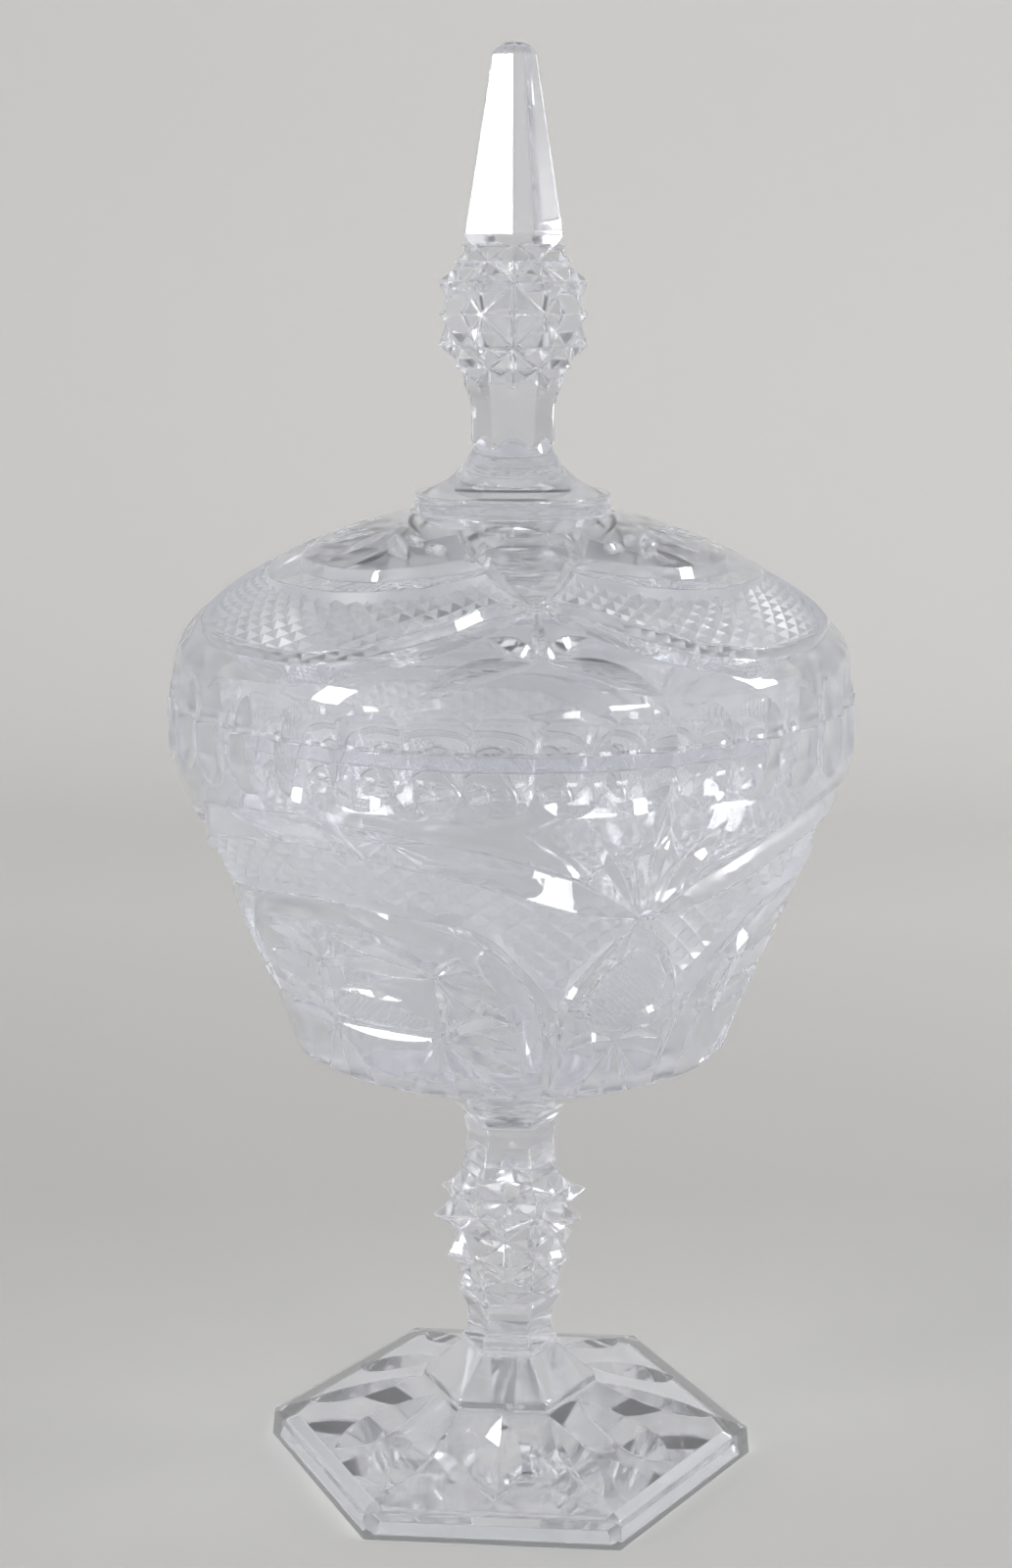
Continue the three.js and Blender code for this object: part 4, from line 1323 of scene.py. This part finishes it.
@dataclass
class Lid:
    """The domed cover, whose edge rests on the bowl and whose flange drops inside it."""

    band_height: float = 10.3
    band_taper: float = 1.6
    wall: float = 6.4
    crown_extra: float = 0.8
    top_radius: float = 28.0
    flange_drop: float = 5.0
    flange_inset: float = 7.0
    flange_width: float = 3.4
    rest_gap: float = 0.06
    segments: int = 240
    sectors: int = 3
    star: float = 4.5
    thumbprints: Thumbprints = Thumbprints(34, -1.0, 11.6, 1.9)
    points: Relief = Relief((-60, 60), (5.0, 5.6), 1.2, 2.5)
    points_ways: Pair = (10.0, 52.0)
    clear_band_depth: float = 2.4
    clear_band_widest: float = 8.0
    field_pocket: float = 4.0
    collar_radius: float = 25.6

    def __post_init__(self) -> None:
        """Takes the heights and the edge from the frame and draws the outline."""
        self.low, self.top, self.edge = span("lid")
        self.joint = self.low + self.flange_drop
        shoulder = (self.edge - self.band_taper, self.joint + self.band_height)
        rise, run = self.top - shoulder[1], shoulder[0] - self.top_radius
        self.dome = bezier(
            shoulder,
            (shoulder[0] - 0.03 * run, shoulder[1] + 0.37 * rise),
            (shoulder[0] - 0.495 * run, self.top - 0.19 * rise),
            (self.top_radius, self.top),
            40,
        )
        self.band = [tuple(p) for p in np.linspace((self.edge, self.joint + self.rest_gap), shoulder, 4)]
        hollow = self.top - self.wall - self.crown_extra
        flange = self.edge - self.flange_inset
        inner = flange - self.flange_width
        self.flange = [(inner, self.low), (flange, self.low), (flange, self.joint + self.rest_gap)]
        pulls = (0.6 * run, hollow), (inner - 2, hollow - 0.35 * rise)
        spring = (inner, self.joint + self.band_height)
        self.inside = [(0, hollow), *bezier((0, hollow), *pulls, spring, 30)]
        self.skin = Skin([shoulder, *self.dome])
        self.band_skin = Skin([*self.band, *self.dome[:8]])

    def blank(self) -> bpy.types.Object:
        """Makes the turned blank."""
        outline = [*self.inside, *self.flange, *self.band, *self.dome, (0, self.top)]
        return turned(outline, self.segments).to_object("lid_crystal")

    def bands(self) -> list[Body]:
        """Makes the cutters of the lower and the upper clear band, for one arch.

        Returns:
            The closed cutters.
        """
        outlines = (
            ([(0, 2.6), (16.6, 4), (24.3, 5.4), (29, 8), (32.4, 9.2), (40.4, 13.6), (48, 19.6), (51, 22.5),
              (58, 29.5)],
             [(0, 12.5), (13.7, 12.7), (20, 13.6), (23.6, 14.9), (28.5, 16.6), (33.6, 20.2), (36.4, 22.1),
              (43.2, 26.8), (49.5, 33.3), (54, 34.8), (58, 33.8)]),
            ([(0, 35.4), (13, 35.5), (23.3, 37.3), (35, 40.6), (45.8, 46.6), (49, 49.5)],
             [(0, 45.3), (7.5, 45.4), (19.5, 46.8), (30, 50.3), (40, 54.1), (49, 57)]),
        )
        strips = [Strip(symmetric(low), symmetric(high)) for low, high in outlines]
        form = self.clear_band_depth, Section.BAND, self.clear_band_widest
        return [strip.body(self.skin, *form) for strip in strips]

    def field(self) -> Strip:
        """Gives the field that the diamond points fill.

        Returns:
            The field of one arch.
        """
        lower = [
            (0, 13), (13.7, 13.2), (20, 14.1), (28.5, 17.1), (36.4, 22.6), (43.2, 27.3), (49.5, 33.8),
            (54, 35.3), (56.5, 36),
        ]
        upper = [
            (0, 34.9), (13, 35), (23.3, 36.8), (35, 40.1), (45.8, 46.1), (48.5, 47.8), (51, 44.5),
            (53.5, 40.3), (56.5, 36.3),
        ]
        return Strip(symmetric(lower), symmetric(upper), 1.0)

    def star_cuts(self) -> list[Cut]:
        """Gives the cuts round the star.

        Returns:
            The cuts, with the star's middle at azimuth 0.
        """
        cross = ((0.6, 33.5), (6.5, 42), (12.3, 53), (20.1, 63.7), (26, 70.5))
        cuts = [
            Cut(cross, 3.8, 1.8, stations=21),
            Cut(((1, 14), (9.5, 11.5), (19.3, 3.4)), 7.0, 2.8, stations=21),
            Cut(((0.6, 14.3), (4.6, 19), (8.8, 21.8)), 6.2, 2.4),
            Cut(((28.2, 72.9), (18.5, 65), (14.1, 53)), 6.4, 2.2),
            Cut(((8.9, 71.8), (12.6, 61.2)), 5.4, 2.0),
            Cut(((34, 62.5), (25.6, 56.9)), 5.2, 2.0),
            Cut(((54.3, 66), (35.9, 53)), 5.2, 2.0),
        ]
        mast = Cut(((0, 31), (0, 14)), 3.6, 1.4)
        return [mast, *both_sides(cuts)]

    def crown_cuts(self) -> list[Cut]:
        """Gives the cuts between the collar and the upper band, round an arch's middle."""
        mast = Cut(((0, 70), (0, 51)), 5.0, 1.5, peak=0.6)
        return [mast, *both_sides([Cut(((14, 66.5), (25, 60)), 3.4, 1.3)])]

    def build(self, shop: Workshop) -> None:
        """Makes the cover.

        Args:
            shop: The trees and finishes.
        """
        piece = self.blank()
        prints = self.thumbprints.body(self.band_skin, 0.0, True)
        shop.cut(piece, [prints], self.thumbprints.count)
        arch = self.star + 180 / self.sectors
        points = self.points.body(self.skin, self.points_ways)
        pocket = self.field().pocket(self.skin, self.field_pocket)
        shop.cut_relief(piece, points.spun(arch), pocket.spun(arch), self.sectors)
        bodies = [body.spun(arch) for body in self.bands()]
        for cuts, turn in ((self.star_cuts(), self.star), (self.crown_cuts(), arch)):
            bodies += [cut.turned_by(turn).body(self.skin) for cut in cuts]
        shop.cut(piece, bodies, self.sectors)
        area = Area(self.skin, self.field(), arch, self.sectors)
        shop.deliver(piece, "lid", "cover", [(self.top, self.collar_radius)], [area])


@dataclass(frozen=True)
class Petal:
    """A petal or leaf in the foot: the distances of its tips from the axis, its size and form."""

    inner: float
    outer: float
    width: float
    depth: float
    peak: float
    on_flat: bool
    stations: int = 21


@dataclass
class Foot:
    """The hexagonal foot: a low pyramid with a petal to each side and a leaf to each corner."""

    radius: float = 71.0
    edge_taper: float = 0.8
    edge_height: float = 8.6
    rise: float = 12.4
    hub_radius: float = 25.7
    hub_taper: float = 0.5
    hub_step: float = 2.8
    seat_radius: float = 14.1
    rim_width: float = 6.0
    recess: float = 3.0
    turn: float = -4.6
    round_width: float = 0.7
    petal: Petal = Petal(24, 55.4, 14, 5.6, 0.66, True)
    leaf: Petal = Petal(27.5, 60.5, 9, 4.6, 0.6, False)

    def __post_init__(self) -> None:
        """Takes the height from the frame."""
        self.top = span("foot")[1]
        self.hub = self.edge_height + self.rise

    def blank(self) -> bpy.types.Object:
        """Makes the blank without its cuts.

        Returns:
            The blank, not yet in the scene.
        """
        levels = [
            (self.radius, 0.0),
            (self.radius - self.edge_taper, self.edge_height),
            (self.hub_radius, self.hub),
            (self.hub_radius - self.hub_taper, self.hub + self.hub_step),
            (self.seat_radius, self.top),
        ]
        return hexagon(levels, self.turn + 30).to_object("foot_crystal")

    def cutter(self, petal: Petal) -> Body:
        """Makes the cutter of a petal or leaf, straight out from the hub.

        Args:
            petal: Its sizes.

        Returns:
            The closed cutter.
        """
        share = HALF_SIDE if petal.on_flat else 1.0
        tilt = -self.rise / ((self.radius - self.edge_taper - self.hub_radius) * share)
        full = lens(petal.stations, petal.peak)
        along = petal.inner + (petal.outer - petal.inner) * np.linspace(0, 1, petal.stations)
        surface = self.hub + (along - self.hub_radius * share) * tilt
        columns = []
        for across, deep in ((-1, None), (-1, 0), (0, 1), (1, 0), (1, None)):
            x = across * full * petal.width / 2
            z = surface + (HEADROOM if deep is None else -deep * full * petal.depth)
            if deep == 0 and not petal.on_flat:
                z = z - np.abs(x) * math.tan(math.radians(30)) * abs(tilt)
            columns.append(np.stack([x, -along, z], 1))
        points = np.stack(columns, 1).reshape(-1, 3)
        rings = len(columns), petal.stations
        azimuth = self.turn if petal.on_flat else self.turn + 30
        return Body(points, end_faces(*rings) + ring_faces(*rings)).spun(azimuth)

    def build(self, shop: Workshop) -> None:
        """Makes the foot.

        Args:
            shop: The trees and finishes.
        """
        piece = bevelled(self.blank(), self.round_width, 3)
        inset = self.radius - self.rim_width
        levels = [(inset, -HEADROOM), (inset, 0), (inset - self.recess, self.recess)]
        hollow = hexagon(levels, self.turn + 30).to_object("foot_hollow")
        shop.cut_round.put_on(piece, Cutter=hollow, Count=1, Finish=shop.crystal)
        shop.cut(piece, [self.cutter(self.petal), self.cutter(self.leaf)], 6)
        shop.deliver(piece, "foot", "compote", [(self.top, self.seat_radius + 1)])


STEM_RINGS = (
    Ring(0, 12.2, 14.1), Ring(2, 12.2, 14.1), Ring(4, 10.6, 12.2), Ring(5, 11, 12.7),
    Ring(3.4, 12.4, 14.4), Ring(1.2, 12.9, 14.9), Ring(1.2, 12.2, 13.8), Ring(3.7, 16.2, 14.2, True),
    Ring(4.3, 14.4, 16), Ring(5.5, 20.2, 16.1, True), Ring(6.5, 16, 15.3), Ring(6.5, 25, 16.6, True),
    Ring(5.4, 15.6, 18), Ring(3.6, 14, 14.2, True), Ring(2, 13.3, 14.5), Ring(3, 12.1, 13.2),
    Ring(6, 10.9, 12.6), Ring(6, 12, 13.6),
)

FINIAL_RINGS = (
    Ring(0, 9.9, 11.4), Ring(9.7, 9.9, 11.4), Ring(3.5, 10.2, 12), Ring(3.7, 11.2, 13.6),
    Ring(4.4, 17.9, 13.7, True), Ring(5.5, 16, 20.3), Ring(8.7, 23, 17.3, True), Ring(8.5, 16, 20.3),
    Ring(5.3, 18, 13.6, True), Ring(4.6, 12.4, 14.2),
)


@dataclass
class Stem:
    """The knopped stem: diamond-cut rings, a hexagonal neck and a round seat for the bowl."""

    turn: float = -4.6
    head_radius: float = 16.6
    neck_radius: float = 12.2
    foot_seam: float = 15.0
    seat_radius: float = 25.0
    flare_rise: float = 4.7
    seat_rise: float = 6.0
    seat_pulls: tuple[Pair, Pair] = ((0, 3), (2, -1))
    overlap: float = 0.5
    round_width: float = 0.45
    segments: int = 144

    def __post_init__(self) -> None:
        """Takes the heights from the frame."""
        self.base, self.top, _ = span("stem")

    def build(self, shop: Workshop) -> None:
        """Makes the stem.

        Args:
            shop: The trees and finishes.
        """
        piece = column(STEM_RINGS, self.base, self.turn).to_object("stem_crystal")
        bevelled(piece, self.round_width, 2)
        low = self.top - self.seat_rise
        head, neck = self.head_radius, self.neck_radius
        flare = column((
            Ring(0, neck * HALF_SIDE, neck),
            Ring(self.flare_rise + self.overlap, head * HALF_SIDE, head),
            Ring(self.overlap, head * HALF_SIDE, head),
        ), low - self.flare_rise - self.overlap, self.turn)
        start = (head * HALF_SIDE, low)
        first, second = self.seat_pulls
        pulls = (head + first[0], low + first[1]), (head + second[0], self.top + second[1])
        cove = bezier(start, *pulls, (self.seat_radius, self.top), 12)
        seat = turned([(0, low), start, *cove, (0, self.top)], self.segments)
        for body, name in ((flare, "stem_flare"), (seat, "stem_seat")):
            shop.join.put_on(piece, Body=body.to_object(name), Finish=shop.crystal)
        seams = [(self.base, self.foot_seam), (self.top, self.seat_radius)]
        shop.deliver(piece, "stem", "compote", seams)


@dataclass
class Finial:
    """The finial: collar and flare, hexagonal neck, diamond knop and a six-sided spire."""

    collar_radius: float = 26.8
    collar_height: float = 5.2
    collar_edge: float = 1.2
    flare_rise: float = 14.6
    neck_radius: float = 11.4
    column_sink: float = 2.0
    lip: float = 2.2
    spire_radius: float = 15.2
    spire_height: float = 46.9
    tip: tuple[Pair, ...] = ((6.8, 0), (4.6, 2), (2.4, 2.9))
    overlap: float = 0.5
    round_width: float = 0.28
    spire_round: float = 0.35
    segments: int = 144

    def __post_init__(self) -> None:
        """Takes the height of the seam from the frame."""
        self.base = span("finial")[0]

    def collar(self) -> Body:
        """Makes the round collar and flare.

        Returns:
            The closed body.
        """
        top = self.base + self.collar_height
        flare_top = top + self.flare_rise
        edge = self.collar_edge
        radius = self.collar_radius
        corners = [(radius, self.base), (radius, top)]
        lower = bezier((radius - edge, self.base), corners[0], corners[0], (radius, self.base + edge), 5)
        upper = bezier((radius, top - edge), corners[1], corners[1], (radius - edge, top), 5)
        flare = bezier(
            (radius - edge, top), (radius - 8, top + 1.5), (self.neck_radius + 1, flare_top - 8),
            (self.neck_radius * HALF_SIDE, flare_top), 24,
        )
        outline = [(0, self.base), (radius - edge, self.base), *lower, (radius, top - edge), *upper, *flare]
        return turned([*outline, (0, flare_top)], self.segments)

    def build(self, shop: Workshop) -> None:
        """Makes the finial.

        Args:
            shop: The trees and finishes.
        """
        start = self.base + self.collar_height + self.flare_rise - self.column_sink
        piece = column(FINIAL_RINGS, start, 0).to_object("finial_crystal")
        bevelled(piece, self.round_width, 2)
        knop_top = start + sum(ring.rise for ring in FINIAL_RINGS)
        shoulder = knop_top + self.lip
        end = shoulder + self.spire_height
        spire = hexagon([
            (self.spire_radius - self.lip, knop_top - self.overlap),
            (self.spire_radius, shoulder),
            *((radius, end + rise) for radius, rise in self.tip),
        ], 0)
        spire_piece = bevelled(spire.to_object("spire"), self.spire_round, 3)
        shop.bake(spire_piece)
        shop.join.put_on(piece, Body=spire_piece, Finish=shop.crystal)
        shop.join.put_on(piece, Body=self.collar().to_object("collar"), Finish=shop.crystal)
        shop.deliver(piece, "finial", "cover", [(self.base, self.collar_radius)])


@dataclass(frozen=True)
class Softbox:
    """A lamp that faces the object. The spread is the full angle of its beam."""

    name: str
    azimuth: float
    height: float
    distance: float
    size: Pair
    power: float
    spread: float = 180

    def put_up(self) -> None:
        """Puts the lamp into the scene."""
        light = bpy.data.lights.new(self.name, "AREA")
        light.shape = "RECTANGLE"
        light.size, light.size_y = self.size
        light.energy = self.power
        light.spread = math.radians(self.spread)
        lamp = bpy.data.objects.new(self.name, light)
        lamp.location = around(self.distance, self.azimuth, self.height)
        aim = Vector((0, 0, AIM_HEIGHT)) - Vector(lamp.location)
        lamp.rotation_euler = aim.to_track_quat("-Z", "Y").to_euler()
        bpy.context.scene.collection.objects.link(lamp)


CARDS = {"card_left": -46, "card_front": 24, "card_right": 75}
SOFTBOXES = (
    Softbox("softbox_left", -62, 0.74, 1.3, (0.26, 0.6), 10),
    Softbox("softbox_front", 38, 0.62, 1.4, (0.34, 0.2), 4.3),
    Softbox("softbox_right", 93, 0.82, 1.3, (0.26, 0.48), 8.5),
    *(Softbox(name, turn, 0.024, 0.42, (0.11, 0.045), 0.017, 50) for name, turn in CARDS.items()),
    Softbox("card_top", 180, 2.2, 0.95, (1.6, 0.7), 3.2),
)


@dataclass
class Studio:
    """The pale sweep with painted light and shade along it, the soft lights and the camera, in metres."""

    grey: tuple[float, float, float] = (0.56, 0.555, 0.54)
    # shares of the grey from the floor up the backdrop: painted shade on the floor, painted light where it
    # bends up into the backdrop
    painted_light_tones: tuple[Pair, ...] = ((0.2, 1.02), (0.6, 1.36), (1.05, 1.43), (1.74, 1.33))
    half_width: float = 3.0
    front: float = -2.5
    back: float = 1.3
    bend: float = 0.5
    height: float = 1.25
    lens: float = 60.06
    place: tuple[float, float, float] = (-0.00207, -0.71611, 0.35611)
    tilt: float = 77.71
    roll: float = -0.18

    def sweep(self) -> None:
        """Makes the floor that runs up into the backdrop, with painted shade on the floor and painted light
        up the backdrop.
        """
        foot = self.back - self.bend
        bend = [math.radians(90 * i / 24) for i in range(1, 25)]
        curve = [(foot + self.bend * math.sin(a), self.bend * (1 - math.cos(a))) for a in bend]
        line = [(self.front, 0.0), (foot, 0.0), *curve, (self.back, self.height)]
        points = [(x, y, z) for y, z in line for x in (-self.half_width, self.half_width)]
        faces = [(2 * i, 2 * i + 1, 2 * i + 3, 2 * i + 2) for i in range(len(line) - 1)]
        mesh = bpy.data.meshes.new("sweep")
        mesh.from_pydata(points, [], faces)
        mesh.shade_smooth()
        material = bpy.data.materials.new("sweep_paper")
        material.use_nodes = True
        tree = material.node_tree
        shader = tree.nodes["Principled BSDF"]
        shader.inputs["Roughness"].default_value = 0.9
        place = add_node(tree, "ShaderNodeTexCoord").outputs["Object"]
        halved = {0: place, 1: (0, 0.5, 0.5)}
        along = add_node(tree, "ShaderNodeVectorMath", halved, operation="DOT_PRODUCT")
        # the ramp paints light and shade into the paper's grey along the sweep
        stops = [(way / 2, tuple(share * c for c in self.grey)) for way, share in self.painted_light_tones]
        paper_with_painted_light = add_ramp(tree, along.outputs["Value"], stops)
        tree.links.new(paper_with_painted_light, shader.inputs["Base Color"])
        mesh.materials.append(material)
        floor = bpy.data.objects.new("sweep", mesh)
        bpy.context.scene.collection.objects.link(floor)

    def surroundings(self) -> None:
        """Makes the room round the sweep: light to the left and right, dark elsewhere."""
        world = bpy.data.worlds.new("surroundings")
        world.use_nodes = True
        tree = world.node_tree
        place = add_node(tree, "ShaderNodeTexCoord").outputs["Generated"]
        parts = add_node(tree, "ShaderNodeSeparateXYZ", {"Vector": place}).outputs
        wide = add_node(tree, "ShaderNodeMath", {0: parts["X"]}, operation="ABSOLUTE")
        upward = ((0.4, (1, 1, 1)), (0.85, (0.1, 0.1, 0.11)))
        sideways = ((0.22, (0.03, 0.03, 0.035)), (0.62, (0.95, 0.95, 0.96)))
        both = add_node(tree, "ShaderNodeMix", {
            "Factor": 1, 6: add_ramp(tree, parts["Z"], upward),
            7: add_ramp(tree, wide.outputs[0], sideways, "EASE"),
        }, data_type="RGBA", blend_type="MULTIPLY")
        background = tree.nodes["Background"]
        tree.links.new(both.outputs[2], background.inputs["Color"])
        background.inputs["Strength"].default_value = 1
        bpy.context.scene.world = world

    def camera(self) -> None:
        """Puts the camera where the photographer stood."""
        data = bpy.data.cameras.new("camera")
        data.sensor_width = 36
        data.sensor_fit = "AUTO"
        data.lens = self.lens
        camera = bpy.data.objects.new("camera", data)
        camera.location = self.place
        camera.rotation_euler = Euler((math.radians(self.tilt), math.radians(self.roll), 0), "XYZ")
        bpy.context.scene.collection.objects.link(camera)
        bpy.context.scene.camera = camera

    def build(self) -> None:
        """Makes the whole studio and sets how light travels through the glass."""
        self.sweep()
        for softbox in SOFTBOXES:
            softbox.put_up()
        self.surroundings()
        self.camera()
        scene = bpy.context.scene
        scene.view_settings.view_transform = "Standard"
        scene.cycles.max_bounces = 28
        scene.cycles.transmission_bounces = 28
        scene.cycles.glossy_bounces = 12
        scene.cycles.transparent_max_bounces = 32


def main() -> None:
    """Builds the studio and every pressing."""
    logging.basicConfig(level=logging.INFO, format="%(message)s")
    Studio().build()
    shop = Workshop()
    for part in (Foot(), Stem(), Bowl(), Lid(), Finial()):
        part.build(shop)


if __name__ == "__main__":
    main()
